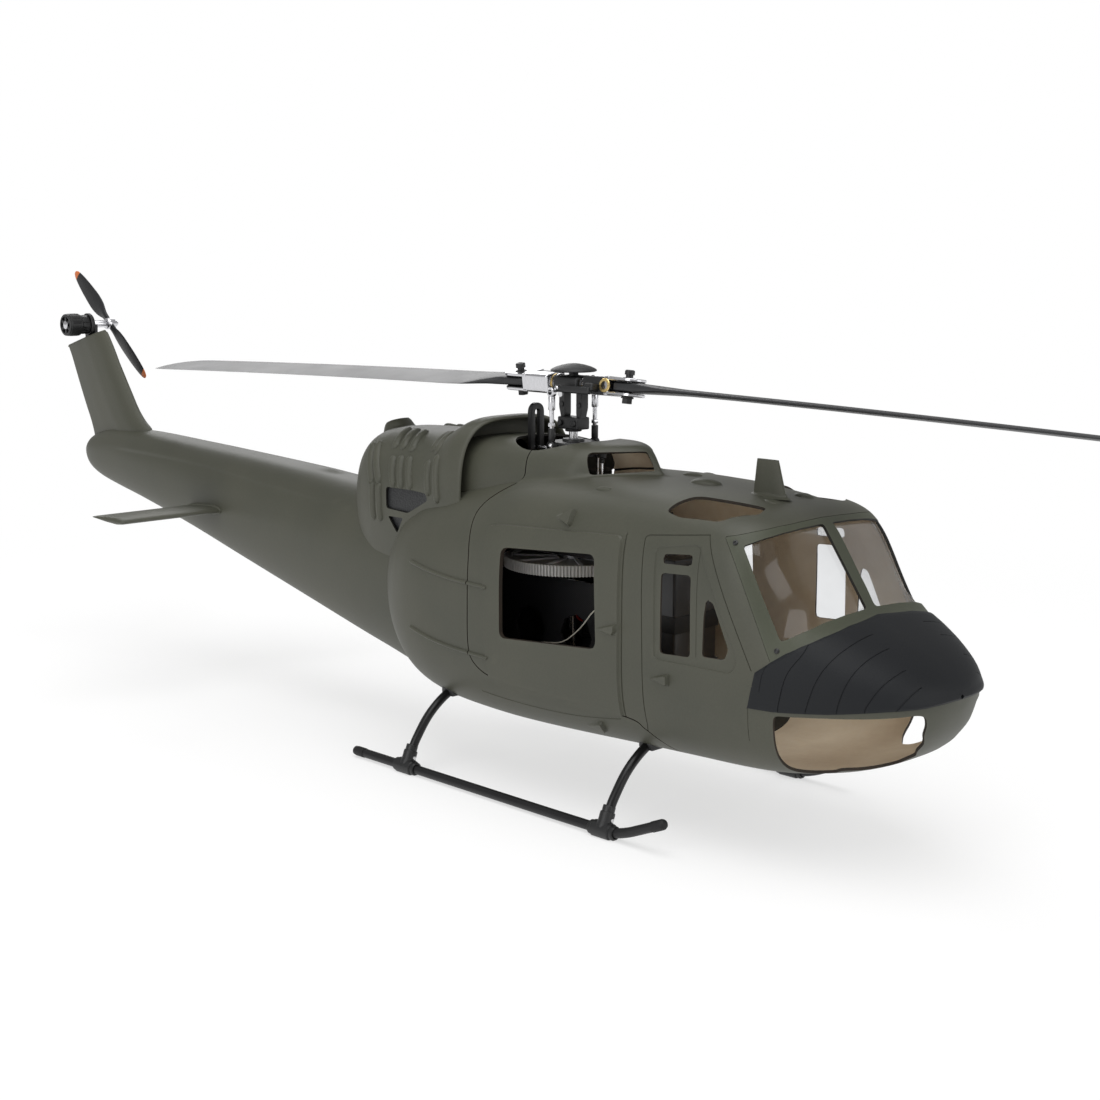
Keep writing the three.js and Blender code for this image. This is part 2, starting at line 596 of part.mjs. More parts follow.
// Engine cowl with the intake hoop, the doghouse behind the seam and a low dome on top.
function cowlShell() {
  const rearDoghouse = doghouseOuter.intersect(box(span(80), [-10, 70], [120, 230]))
    .intersect(behindSeam);
  const mouthArch = { ...COWL_ARCH, floor: COWL_ARCH.base - 30 };
  const mouth = loft([[44, 2.6], [60, 2.6], [70, 9]].map(
    ([y, inset]) => archRing(mouthArch, COWL_FRONT_Y, inset, y)));
  const dome = solid(turned(DOME_PROFILE, 14).translate(0, 149, 182.6));
  const passage = box(span(26), [60, 82], [120, 178]);
  const shell = cut(engineCowl(0, COWL_FRONT_Y).add(rearDoghouse), mouth.subtract(doghouseOuter),
    cowlInner, doghouseInner, passage, mastOpening, hullGrown);
  return cut(shell.add(dome.subtract(cowlInner)), ...COWL_VENTS.map(acrossX));
}
addSolid('engine_cowl', cowlShell(), 'olive');

const grilleLayer = cut(engineCowl(WALL + 0.3, COWL_HOLLOW_Y), engineCowl(WALL + 1.3, COWL_HOLLOW_Y));
for (const [name, side] of SIDES) {
  const grille = grilleLayer.intersect(sidePrism(GRILLE, side, 20, 70)).subtract(hullGrown);
  addSolid(`grille_${name}`, grille, 'black');
}

// ---------------------------------------------------------------- stabilizer halves
const STAB_Y = [308, 345];      // leading and trailing edge
const STAB_TIP_X = 100;
const STAB_HALF_THICK = 2.4;
const STAB_PROFILE = [[0, 0.15], [0.06, 0.6], [0.25, 1], [0.6, 0.8], [1, 0.16]];

function stabilizer(side) {
  const chord = STAB_Y[1] - STAB_Y[0];
  const ring = (x) => foilRing(STAB_PROFILE, (u, share) =>
    [side * x, STAB_Y[0] + u * chord, STAB_Z + STAB_HALF_THICK * share]);
  const panel = cut(loft([ring(15), ring(STAB_TIP_X)]), boomGrown);
  const tongue = box([side * 1, side * 34], span(4, STAB_TONGUE_Y), span(1.9, STAB_Z));
  return biggest(panel).add(tongue);
}
for (const [name, side] of SIDES) addSolid(`stabilizer_${name}`, stabilizer(side), 'olive');

// ---------------------------------------------------------------- landing gear
// Sleeve on the skid with a flat foot and a sloping socket for the cross tube.
function skidSaddle(side, y) {
  const x = side * SKID_X;
  const sleeveZ = SKID_Z + 0.2;
  const body = unite(
    rod([x, y - 6.5, sleeveZ], [x, y + 6.5, sleeveZ], 4.4, 12),
    box(span(3, x), span(6, y), [0, 3]),
    rod([x, y, 3.5], [x - side * 4.6, y, 15.5], 3.9, 10),
  );
  const belowGround = box(span(20, x), span(20, y), [-5, 0]);
  return cut(body, belowGround, solid(skidTube(side, GAP)), solid(crossTube(y, GAP)));
}

for (const [name, side] of SIDES) addMesh(`skid_${name}`, skidTube(side), 'satin');
for (const [name, y] of CROSS_TUBES) addMesh(`cross_tube_${name}`, crossTube(y), 'satin');
for (const [place, y] of CROSS_TUBES) {
  for (const [name, side] of SIDES) {
    addSolid(`skid_saddle_${place}_${name}`, skidSaddle(side, y), 'black');
  }
}

// ---------------------------------------------------------------- mechanics inside the cabin
const FRAME_X = 18;             // inner face of the frame plates
const FRAME_THICK = 1.6;
const BETWEEN_FRAMES = span(FRAME_X - GAP);
const MAST_HOLE_R = 2.62;
const MOTOR_AXIS = [0, -43];    // x, y; ahead of the mast
const FRAME_OUTLINE = rounded([[-62, 62], [-62, 112], [-50, 133.7], [48, 133.7], [70, 120],
  [96, 116], [96, 84], [60, 62], [48, 46.6], [-48, 46.6]], 4, 1);
const FRAME_HOLES = [[-22, 82, 12], [14, 82, 12], [42, 92, 8], [76, 100, 7]];   // y, z, radius
const DECK_OUTLINE = rounded([[-49, 4], [-20, -14], [-20, -56], [27, -56], [27, -14], [49, 4],
  [49, 40], [-49, 40]], 4);

function framePlate(side) {
  const plate = sidePrism(FRAME_OUTLINE, side, FRAME_X, FRAME_X + FRAME_THICK);
  const gearSlot = box(span(60), span(41), [112.5, 125.5]);
  return cut(plate, gearSlot, ...FRAME_HOLES.map((hole) => acrossX(circle(...hole, 8))));
}

function batteryTray() {
  const floorZ = [49.4, 50.9];
  const lowZ = 44.9;
  return unite(
    box(span(19), [-92.8, -66], floorZ),
    box(span(19), [-92.8, -91.4], [floorZ[0], 66]),         // front wall
    box(span(12), [-69.2, -66.6], [lowZ, floorZ[1]]),       // step down
    box(span(12), [-69.2, 46], [lowZ, 46.3]),               // strip running aft
  );
}

for (const [name, side] of SIDES) addSolid(`frame_plate_${name}`, framePlate(side), 'carbon');
addSolid('servo_deck', cut(prismZ(DECK_OUTLINE, ...DECK_Z),
  prismZ(circle(0, 0, 4.2, 14), 130, 150)), 'carbon');
addSolid('upper_bearing_block',
  cut(box(span(11), span(11), [ON_DECK_Z, 146]), boreZ(MAST_HOLE_R)), 'silver');
addSolid('lower_bearing_block',
  cut(box(BETWEEN_FRAMES, span(10), [56, 64]), boreZ(MAST_HOLE_R)), 'silver');
addSolid('motor_mount',
  cut(box(BETWEEN_FRAMES, [-60, -28], [109.2, 111.4]), boreZ(5.2, MOTOR_AXIS)), 'silver');
addSolid('motor_stator',
  cut(rodZ([101, 108.9], 11.5, MOTOR_AXIS), boreZ(2.1, MOTOR_AXIS)), 'copper');
addSolid('battery_tray', batteryTray(), 'carbon');
addSolid('battery_pack', box(span(17), [-91.1, -65.4], [51.2, 133]), 'blue');
addSolid('speed_controller', box([4, 15.6], [-22, 26], [68, 96]), 'grey');
addSolid('flight_controller', box(span(16), [62, 92], [98, 110]), 'black');

// ---------------------------------------------------------------- servos
const ARM_L = 14;               // servo arm radius
const ARM_Z = 144;              // servo shaft height
const SERVO_SIZE = [20, 23];    // along x and y
const SERVO_TOP_Z = 149.2;
// faceX: case face on the shaft's side; facing: the x direction the shaft points in;
// caseY: front of the case; boss: x range of the shaft boss; armTurn: y direction of the arm.
const SERVOS = [
  { name: 'right', faceX: -25.4, facing: 1, caseY: 7, boss: [-26, -24.2], shaftY: 17,
    armX: -22.4, armTurn: -1 },
  { name: 'left', faceX: 25.4, facing: -1, caseY: 7, boss: [24.2, 26], shaftY: 17,
    armX: 22.4, armTurn: -1 },
  { name: 'front', faceX: 4, facing: -1, caseY: -53, boss: [2.6, 5], shaftY: -35,
    armX: 0.8, armTurn: 1 },
];

function servo({ faceX, facing, caseY, boss, shaftY }) {
  const [length, width] = SERVO_SIZE;
  const body = box([faceX, faceX - length * facing], [caseY, caseY + width],
    [ON_DECK_Z, SERVO_TOP_Z]);
  return body.add(rodX(boss, 2.2, [shaftY, ARM_Z]));
}

function servoArm({ armX, shaftY, armTurn }) {
  const disc = rodX(span(1.2, armX), 3.4, [shaftY, ARM_Z]);
  return disc.add(box(span(1, armX), [shaftY, shaftY + armTurn * ARM_L], span(1.6, ARM_Z)));
}

for (const spec of SERVOS) addSolid(`servo_${spec.name}`, servo(spec), 'black');
for (const spec of SERVOS) addSolid(`servo_arm_${spec.name}`, servoArm(spec), 'white');

// ---------------------------------------------------------------- swashplate and its rods
const SWASH_Z = 178;            // underside of the swashplate's fixed ring
const LOWER_ARM_Z = SWASH_Z + 1.5;
const UPPER_ARM_Z = SWASH_Z + 5.4;
const armTip = ({ armX, shaftY, armTurn }) => [armX, shaftY + armTurn * ARM_L];
const linkAt = (side) => [side * HORN_X, -side * 1.2];
const GUIDE_OUTLINE = [[-5.2, 168], [-5.2, 199.5], [-3.6, 202.8], [0, 204], [3.6, 202.8],
  [5.2, 199.5], [5.2, 168]];                              // x, z
const GUIDE_SLOT = [[-1.7, 172], [-1.7, 199], [-0.9, 200.2], [0.9, 200.2], [1.7, 199], [1.7, 172]];

// Fixed ring, with an arm to each servo rod and a pin into the guide.
function swashLowerRing() {
  const tips = SERVOS.map(armTip);
  const arms = tips.map(([x, y]) =>
    rod([x * 0.6, y * 0.6, LOWER_ARM_Z], [x, y, LOWER_ARM_Z], 1.1));
  const guidePin = rod([0, 12, LOWER_ARM_Z], [0, 32.2, LOWER_ARM_Z], 1.0);
  const ring = unite(rodZ([SWASH_Z, SWASH_Z + 3], 16), ...arms, guidePin);
  return cut(ring, boreZ(6.5), ...tips.map((tip) => boreZ(2.0, tip)));
}

function servoRod(at) {
  return unite(
    rodZ([ARM_Z + 5.2, SWASH_Z - 0.4], 1.0, at),
    rodZ([SWASH_Z - 1.2, SWASH_Z + 3.2], 1.6, at),
    rodZ([ARM_Z + 3.4, ARM_Z + 9], 2.1, at),
  );
}

// Turning ring, with an arm to each pitch link.
function swashUpperRing() {
  const tips = ROTOR_SIDES.map(([, side]) => linkAt(side));
  const arms = tips.map((tip) => rod([0, 0, UPPER_ARM_Z], [...tip, UPPER_ARM_Z], 1.5));
  const ring = unite(rodZ([SWASH_Z + 3.4, SWASH_Z + 7.2], 13.2), ...arms);
  return cut(ring, boreZ(MAST_R + 0.3), ...tips.map((tip) => boreZ(2.3, tip)));
}

function pitchLink(at) {
  const topZ = HEAD_Z - 3.2;
  return unite(
    rodZ([UPPER_ARM_Z - 1.6, UPPER_ARM_Z + 9], 1.9, at),
    rodZ([UPPER_ARM_Z + 8, topZ - 4], 1.3, at),
    rodZ([topZ - 9, topZ - 2.6], 1.9, at),
  );
}

// Slotted upright behind the mast, on a foot on the servo deck.
function swashGuide() {
  const thickness = [28.4, 31];
  return unite(
    cut(prismY(GUIDE_OUTLINE, ...thickness), prismY(GUIDE_SLOT, 27, 33)),
    box(span(5.2), thickness, [ON_DECK_Z, 169]),
    box(span(9), [26.5, 36], [ON_DECK_Z, 139]),
  );
}

addSolid('swash_lower_ring', swashLowerRing(), 'black');
for (const spec of SERVOS) addSolid(`servo_rod_${spec.name}`, servoRod(armTip(spec)), 'black');
addSolid('swash_upper_ring', swashUpperRing(), 'black');
for (const [name, side] of ROTOR_SIDES) {
  addSolid(`pitch_link_${name}`, pitchLink(linkAt(side)), 'silver');
}
addSolid('swash_guide', swashGuide(), 'black');

// ---------------------------------------------------------------- mast, gear and motor
const GEAR_R = 38.4;            // outside radius of the main gear
const GEAR_Z = [116, 122];
const PINION_R = 4.2;
const MOTOR_R = 14;
const MOTOR_LOW_Z = 74;
const MOTOR_SHAFT_R = 1.6;
const MAST_FIT = 0.06;          // radial clearance of the gear and hub on the mast

function mainGear() {
  const [low, top] = GEAR_Z;
  const recess = rodZ([top - 1.6, top + 2], GEAR_R - 4.5, [0, 0], 28);
  const boss = rodZ([low - 6, top + 3], 7);
  return cut(cut(rodZ(GEAR_Z, GEAR_R), recess).add(boss), boreZ(MAST_R + MAST_FIT));
}

// Bell and shaft, with a ring-shaped recess in the top face.
function motorBell() {
  const body = unite(
    rodZ([MOTOR_LOW_Z, 100.5], MOTOR_R, MOTOR_AXIS),
    rodZ([MOTOR_LOW_Z, GEAR_Z[1] + 4.5], MOTOR_SHAFT_R, MOTOR_AXIS),
  );
  const recess = rodZ([96, 102], MOTOR_R - 1.6, MOTOR_AXIS);
  return cut(body, cut(recess, rodZ([80, 120], MOTOR_SHAFT_R, MOTOR_AXIS)));
}

addSolid('main_shaft', rodZ([MAST_LOW_Z, MAST_TOP_Z - 1], MAST_R), 'steel');
addSolid('main_gear', mainGear(), 'white');
addSolid('motor_pinion', cut(rodZ([GEAR_Z[0] - 3, GEAR_Z[1] + 3], PINION_R, MOTOR_AXIS),
  boreZ(1.85, MOTOR_AXIS)), 'brass');
addSolid('motor_bell', motorBell(), 'black');

// ---------------------------------------------------------------- main rotor
const BOLT_Y = 41;              // blade bolt, from the mast axis
const BOLT_HOLE_R = 1.75;
const BLADE_TIP_R = 393;        // rotor radius
const BLADE_DROOP = 8;          // fall of the tip below the root
const REST_PITCH = 8;           // blade pitch at rest, degrees
const BUTTON_PROFILE = [[0, 221.35], [2.6, 221.35], [2.6, 223.2], [12.6, 223.6], [12.4, 224.4],
  [9, 226.2], [4.5, 227.4], [0, 227.7]];                  // radius, z
const BLADE_PROFILE = [[0, 0.25], [0.05, 0.65], [0.25, 1], [0.6, 0.72], [1, 0.12]];
// Distance from the mast, chord ahead of and behind the pitch axis, thickness.
const BLADE = [
  [34.2, 4.5, 4.5, 5.4], [36.2, 6.2, 6.2, 5.6], [50, 6.6, 7.0, 5.6], [58, 7.6, 10, 5.2],
  [72, 9.8, 20, 4.2], [86, 10.4, 21.6, 3.4], [200, 10.4, 21.6, 2.9], [372, 10.2, 21.4, 2.2],
  [386, 6.5, 21.0, 1.8], [BLADE_TIP_R, -6, 20.2, 1.2],
];

// Clamp block, two uprights with a slot between them, cross bar and feathering spindle.
function rotorHub() {
  const body = unite(
    box(span(4.8), span(7.8), [191.8, 200.2]),
    box(span(2.6), [4.2, 8.6], [199.8, 212.2]),
    box(span(2.6), [-8.6, -4.2], [199.8, 212.2]),
    box(span(7.2), span(9.6), [211.8, 221]),
  );
  const mastSocket = rodZ([180, MAST_TOP_Z + 0.4], MAST_R + MAST_FIT);
  return cut(body, mastSocket).add(rod([0, -27, HEAD_Z], [0, 27, HEAD_Z], 2.0));
}

// Grips, bolts and blades are drawn about the feathering axis; side is the blade's y direction
// and also the x direction of its leading edge.
function bladeGrip(side) {
  const barrel = (from, to, radius) => rod([0, side * from, 0], [0, side * to, 0], radius);
  const jawZ = [-4.6, 5.0];
  const body = unite(
    barrel(12, 31, 5.6),
    box(span(7.5), [side * 28, side * 49.5], jawZ),
    rodZ(jawZ, 7.5, [0, side * (BOLT_Y + 2.5)]),
  );
  const slot = box(span(12), [side * 32.2, side * 60], [-2.9, 3.3]);
  // the pitch horn reaches out on the leading side, then back to the hub's centre line
  const hornRoot = box([0, side * 12], [side * 20, side * 26], [-3.4, 0.6]);
  const hornArm = box([side * 10.5, side * 13.4], [side * -1.2, side * 24], [-5.4, -1.6]);
  const grip = unite(
    cut(body, slot, boreZ(BOLT_HOLE_R, [0, side * BOLT_Y])),
    cut(hornRoot, barrel(5, 35, 4.5)),
    hornArm,
  );
  return cut(grip, barrel(5, 30.2, 2.4));
}

function bladeBolt(side) {
  const at = [0, side * BOLT_Y];
  return unite(
    rodZ([-7.6, 6.5], 1.5, at),
    rodZ([5.35, 9.6], 2.9, at, 12),      // head
    rodZ([-8.4, -4.95], 3.0, at, 6),     // nut
  );
}

// Narrow root in the grip, then full chord, drooping a little towards a raked tip.
function mainBlade(side) {
  const rings = BLADE.map(([y, lead, trail, thickness]) => {
    const z = 0.2 - BLADE_DROOP * ((y - 34) / (BLADE_TIP_R - 34)) ** 1.5;
    return foilRing(BLADE_PROFILE, (u, share) =>
      [side * (lead - u * (lead + trail)), side * y, z + thickness / 2 * share]);
  });
  return cut(loft(rings), boreZ(BOLT_HOLE_R, [0, side * BOLT_Y]));
}

addSolid('rotor_hub', rotorHub(), 'black');
addMesh('head_button', turned(BUTTON_PROFILE, 20), 'black');
for (const [name, side] of ROTOR_SIDES) {
  const group = new THREE.Group();
  group.position.set(0, 0, HEAD_Z);
  // positive pitch lifts the leading edge
  group.rotation.y = THREE.MathUtils.degToRad(-side * REST_PITCH);
  root.add(group);
  addSolid(`blade_grip_${name}`, bladeGrip(side), 'silver', group);
  addSolid(`blade_bolt_${name}`, bladeBolt(side), 'black', group);
  addSolid(`main_blade_${name}`, mainBlade(side), 'blade', group);
}

// ---------------------------------------------------------------- tail rotor
const [TAIL_Y, TAIL_Z] = TAIL_AXIS;
const TAIL_ROTOR_X = 22.4;
const TAIL_BLADE_R = 61.3;
const TAIL_BLADE_ANGLE = 38.9;  // upper tail blade, from +Y towards +Z, degrees
const TAIL_PROFILE = [[0, 0.4], [0.2, 1], [0.6, 0.8], [1, 0.3]];
// Distance from the hub, chord either side of the blade axis, thickness, twist in degrees.
const TAIL_BLADE = [
  [2, 2.6, 2.6, 3.6, 0], [9, 3.0, 3.0, 3.2, 0], [16, 4.6, 5.0, 2.4, 10],
  [27, 6.0, 6.6, 2.0, 12], [46, 4.8, 5.6, 1.5, 9], [TAIL_BLADE_R - 1.3, 1.6, 2.6, 0.9, 6],
];

function tailMotorMount() {
  const face = [2.6, 5.4];
  const body = unite(
    rodX(face, 8.2, TAIL_AXIS),
    box(face, span(7, TAIL_Y), [221.5, TAIL_Z]),
    box([5.25, 7.6], span(7, TAIL_Y), [205, 226.5]),
  );
  return cut(body, boreX(2.6, TAIL_AXIS), fin);
}

function tailBlade(side) {
  return loft(TAIL_BLADE.map(([y, lead, trail, thickness, twist]) => {
    const cos = Math.cos(THREE.MathUtils.degToRad(twist));
    const sin = Math.sin(THREE.MathUtils.degToRad(twist));
    return foilRing(TAIL_PROFILE, (u, share) => {
      const along = lead - u * (lead + trail);
      const off = thickness / 2 * share;
      return [off * cos + along * sin, side * y, (along * cos - off * sin) * side];
    });
  }));
}

addSolid('tail_motor_mount', tailMotorMount(), 'black');
addSolid('tail_motor_stator',
  cut(rodX([-4.2, 2.3], 7.0, TAIL_AXIS), boreX(1.6, TAIL_AXIS)), 'copper');
addSolid('tail_motor_bell',
  unite(rodX([-15.2, -4.6], 8.2, TAIL_AXIS), rodX([-10, 28.6], 1.2, TAIL_AXIS)), 'black');

const tailGroup = new THREE.Group();
tailGroup.position.set(TAIL_ROTOR_X, TAIL_Y, TAIL_Z);
tailGroup.rotation.x = THREE.MathUtils.degToRad(TAIL_BLADE_ANGLE);
root.add(tailGroup);
addSolid('tail_rotor',
  cut(unite(rodX([-3.4, 3.0], 4.2), tailBlade(-1), tailBlade(1)), boreX(1.26)), 'blade', tailGroup);

export default root;
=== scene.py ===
# Appearance of a scale helicopter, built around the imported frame.
# Everything is drawn in millimetres about the mast axis, with the ground at z = 0:
# the nose points along -y, +x is the machine's left and z is up.
import math
import bpy
import numpy as np
from mathutils import Vector, Matrix


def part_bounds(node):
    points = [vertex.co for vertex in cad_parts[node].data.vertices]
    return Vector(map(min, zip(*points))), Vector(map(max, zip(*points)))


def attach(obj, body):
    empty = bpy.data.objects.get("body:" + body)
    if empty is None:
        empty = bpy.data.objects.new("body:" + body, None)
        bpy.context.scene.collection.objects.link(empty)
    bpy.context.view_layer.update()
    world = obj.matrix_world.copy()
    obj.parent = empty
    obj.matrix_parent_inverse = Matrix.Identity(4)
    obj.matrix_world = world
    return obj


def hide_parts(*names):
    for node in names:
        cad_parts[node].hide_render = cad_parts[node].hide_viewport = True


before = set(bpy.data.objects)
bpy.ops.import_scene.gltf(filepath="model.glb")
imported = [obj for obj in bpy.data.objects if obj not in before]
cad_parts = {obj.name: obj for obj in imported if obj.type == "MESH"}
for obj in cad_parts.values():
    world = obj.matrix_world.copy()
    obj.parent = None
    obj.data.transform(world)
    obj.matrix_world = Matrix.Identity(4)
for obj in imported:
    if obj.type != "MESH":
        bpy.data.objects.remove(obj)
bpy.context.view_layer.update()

MM = 0.001                          # metres in a millimetre
MAST = np.array([0, -87.665, 0])    # the mast axis in the frame

# ------------------------------------------------------------------ main dimensions
WALL = 1.5               # thickness of the cabin shells
SEAM_GAP = 0.36          # half the gap between canopy and rear fuselage
HUMP_BASE = 150.0        # z where the arch of the roof hump starts
COWL_BASE = 140.0        # z where the arch of the engine cowl starts
TAILPLANE_Z = 115.5
SKID_X = 75              # skid tubes from the middle
SKID_Z = 3.5             # axis of the skid fittings
CROSS_TUBE_Y = {"front": -97, "rear": 56}
HEAD_Z = 216.5           # feathering axis of the main blades
BLADE_PITCH = 8.0        # degrees
SWASH_Z = 178.0
SERVO_ROD_Z = 144.0
TAIL_Y, TAIL_Z = 520.0, 231.6   # axis of the tail rotor
MOTOR_Y = -43            # axis of the drive motor

# ------------------------------------------------------------------ shape tables
# Closed sections: y, crown z, keel z, half width, z of the widest point,
# upper roundness, lower roundness
CABIN = np.array([
    [-251, 88, 86.5, 1, 87.3, 2.2, 2.2], [-250.2, 90.8, 79, 11, 86.6, 2.2, 2.2],
    [-248, 94, 72.5, 20, 86, 2.2, 2.3], [-244, 97.5, 66, 28.5, 85.5, 2.3, 2.4],
    [-238, 102, 59.5, 36.5, 85, 2.4, 2.6], [-230, 107, 54, 43.5, 85, 2.5, 2.8],
    [-220, 112, 49.5, 50, 85, 2.7, 3], [-210, 116.5, 46.5, 54.5, 85.5, 2.9, 3.2],
    [-202, 120, 44.8, 57.5, 86, 3, 3.3], [-196, 128.5, 43.6, 59.2, 87, 2.6, 3.4],
    [-190, 137, 42.6, 60.4, 88, 2.3, 3.5], [-182, 148.5, 41.4, 61.3, 90, 2.6, 3.6],
    [-174, 159, 40.4, 62, 92, 3.2, 3.6], [-168, 162.8, 39.8, 62.3, 94, 4, 3.6],
    [-162, 165, 39.3, 62.5, 95, 4.6, 3.6], [-150, 167.2, 38.6, 62.5, 96, 5, 3.6],
    [-130, 168.9, 37.8, 62.5, 97, 5, 3.6], [-100, 170.5, 36.5, 62.5, 98, 4.7, 3.6],
    [-60, 172, 34.5, 62.5, 99, 4.1, 3.6], [-20, 171.8, 32.6, 62.5, 99, 3.5, 3.5],
    [10, 169.6, 31.6, 62.4, 98.5, 3, 3.3], [40, 165.2, 31.3, 61.8, 98, 2.6, 3],
    [60, 161.5, 31.8, 61, 97.5, 2.45, 2.8], [75, 157.5, 33, 59.3, 97.5, 2.4, 2.6],
    [88, 152.5, 36, 56, 97.5, 2.3, 2.5], [96, 148.5, 39.5, 52.8, 97.5, 2.3, 2.4],
    [102, 144.5, 43.5, 49.5, 97.5, 2.2, 2.3], [107, 139.5, 48.5, 45.5, 97, 2.2, 2.3],
    [111, 133, 55, 40.5, 96.5, 2.2, 2.2], [114, 124, 65, 33, 95.5, 2.2, 2.2],
    [116, 108, 84, 14, 95, 2.2, 2.2]])
BOOM = np.array([
    [60, 150, 31.6, 37, 96, 2.2, 2.3], [90, 148, 34, 37, 96, 2.2, 2.3],
    [115, 146.8, 38.6, 36.4, 97, 2.2, 2.3], [140, 146.4, 44.6, 35.4, 98, 2.2, 2.3],
    [160, 146.3, 49, 34.4, 99, 2.2, 2.3], [190, 147, 55.7, 32.4, 102.5, 2.2, 2.3],
    [230, 149.6, 64.7, 29.8, 108.5, 2.2, 2.3], [300, 153.2, 80.5, 25.6, 118, 2.2, 2.3],
    [368, 156.2, 96, 21.6, 127, 2.2, 2.3], [436, 158.5, 109.6, 17.5, 135, 2.2, 2.3],
    [470, 158, 115.3, 14.5, 138, 2.2, 2.3], [495, 153.5, 120.5, 11.5, 138, 2.2, 2.3],
    [510, 148, 126.5, 8, 138, 2.2, 2.3], [517, 142, 133, 4, 138, 2.2, 2.3]])
# Arched sections: y, top z, half width, roundness
HUMP = np.array([
    [-70, 168.3, 3, 2], [-66.9, 172.2, 3.4, 2], [-64.5, 175.7, 3.8, 2],
    [-61.4, 180.1, 5.4, 2.1], [-57.4, 184.6, 9, 2.2], [-54, 186.6, 12.2, 2.4],
    [-50, 187.4, 16.2, 2.7], [-44, 187.6, 22.2, 3.1], [-36, 187.5, 29.3, 3.5],
    [-28, 187.4, 34, 3.7], [-10, 187.2, 35.8, 3.8], [10, 186.8, 36.6, 3.8],
    [35, 186, 37.2, 3.8], [70, 184, 37.4, 3.6]])
COWL = np.array([
    [45, 196.2, 44.6, 3.6], [54, 196, 45.2, 3.6], [64, 192.4, 44.6, 3.4],
    [74, 187.6, 43.2, 3.1], [84, 185.4, 42.2, 2.9], [110, 184.8, 41.6, 2.8],
    [130, 184.2, 39.8, 2.7], [143, 182.6, 36, 2.6], [153, 179.4, 30.8, 2.5],
    [161, 174.4, 24, 2.4], [167, 167, 15.6, 2.3], [171, 156, 6, 2.2]])


# ------------------------------------------------------------------ small mathematics
def unit(vectors):
    return vectors / np.maximum(np.linalg.norm(vectors, axis=-1, keepdims=True), 1e-12)


def smoothstep(t):
    t = np.clip(t, 0, 1)
    return t * t * (3 - 2 * t)


def xyz(x, y, z):
    """Points from coordinates, any of which may be a single number."""
    return np.stack(np.broadcast_arrays(x, y, z), 1)


def rotation(axis, degrees):
    return np.array(Matrix.Rotation(math.radians(degrees), 3, axis))


def pchip(knots, values, at):
    """Monotone cubic through the knots."""
    step = np.diff(knots)
    rise = np.diff(values) / step
    slope = np.zeros(len(knots))
    for i in range(1, len(knots) - 1):
        if rise[i - 1] * rise[i] > 0:
            before, after = 2 * step[i] + step[i - 1], step[i] + 2 * step[i - 1]
            slope[i] = (before + after) / (before / rise[i - 1] + after / rise[i])
    slope[0], slope[-1] = rise[0], rise[-1]
    i = np.clip(np.searchsorted(knots, at) - 1, 0, len(knots) - 2)
    t = (at - knots[i]) / step[i]
    return (values[i] * (2 * t**3 - 3 * t**2 + 1) + slope[i] * step[i] * (t**3 - 2 * t**2 + t)
            + values[i + 1] * (-2 * t**3 + 3 * t**2) + slope[i + 1] * step[i] * (t**3 - t**2))


def table_row(table, at):
    """The other columns of a table where its first column has a given value."""
    return [float(pchip(table[:, 0], column, np.array([at]))[0]) for column in table.T[1:]]


def curve(points, steps):
    """Smooth polyline through points in the plane or in space."""
    knots = np.array(points, float)
    knots = np.concatenate([[2 * knots[0] - knots[1]], knots, [2 * knots[-1] - knots[-2]]])
    made = []
    for i in range(1, len(knots) - 2):
        before, start, end, after = knots[i - 1:i + 3]
        for t in np.linspace(0, 1, steps, endpoint=False):
            made.append(0.5 * ((2 * start) + (-before + end) * t
                               + (2 * before - 5 * start + 4 * end - after) * t * t
                               + (-before + 3 * start - 3 * end + after) * t**3))
    return np.array(made + [knots[-2]])


def rounded(outline, radius, steps=5):
    """Closed outline with rounded corners."""
    corners = [np.array(p, float) for p in outline]
    made = []
    for i, corner in enumerate(corners):
        before, after = corners[i - 1], corners[(i + 1) % len(corners)]
        reach = min(radius, np.linalg.norm(before - corner) * 0.47,
                    np.linalg.norm(after - corner) * 0.47)
        start = corner + unit(before - corner) * reach
        end = corner + unit(after - corner) * reach
        for j in range(steps + 1):
            t = j / steps
            made.append((1 - t) ** 2 * start + 2 * t * (1 - t) * corner + t * t * end)
    return np.array(made)


def outline_distance(flat, outline):
    """Signed distance to a closed outline, negative inside."""
    outline = np.asarray(outline, float)
    best = np.full(len(flat), 1e9)
    inside = np.zeros(len(flat), bool)
    for start, end in zip(outline, np.roll(outline, -1, 0)):
        edge = end - start
        offset = flat - start
        t = np.clip((offset @ edge) / max(edge @ edge, 1e-12), 0, 1)
        best = np.minimum(best, np.hypot(*(offset - t[:, None] * edge).T))
        level = (start[1] > flat[:, 1]) != (end[1] > flat[:, 1])
        if level.any():
            reach = start[0] + (flat[level, 1] - start[1]) * edge[0] / edge[1]
            hit = np.where(level)[0][flat[level, 0] < reach]
            inside[hit] = ~inside[hit]
    return np.where(inside, -best, best)


def line_distance(flat, line):
    """Distance to an open polyline, and the same with the sign of the side."""
    best = np.full(len(flat), 1e9)
    sign = np.ones(len(flat))
    for start, end in zip(line[:-1], line[1:]):
        edge = end - start
        length = math.hypot(*edge)
        offset = flat - start
        t = np.clip((offset @ edge) / (length * length), 0, 1)
        distance = np.hypot(*(offset - t[:, None] * edge).T)
        closer = distance < best
        best[closer] = distance[closer]
        sign[closer] = np.sign(edge[0] * offset[closer, 1] - edge[1] * offset[closer, 0])
    return best, sign * best


# ------------------------------------------------------------------ lofted volumes
Y_GRID = 0.25       # spacing of the resampled tables
SPAN = 24           # reach of the smoothing, in grid steps
SECTION_ANGLES = np.linspace(-math.pi / 2, math.pi / 2, 1201)


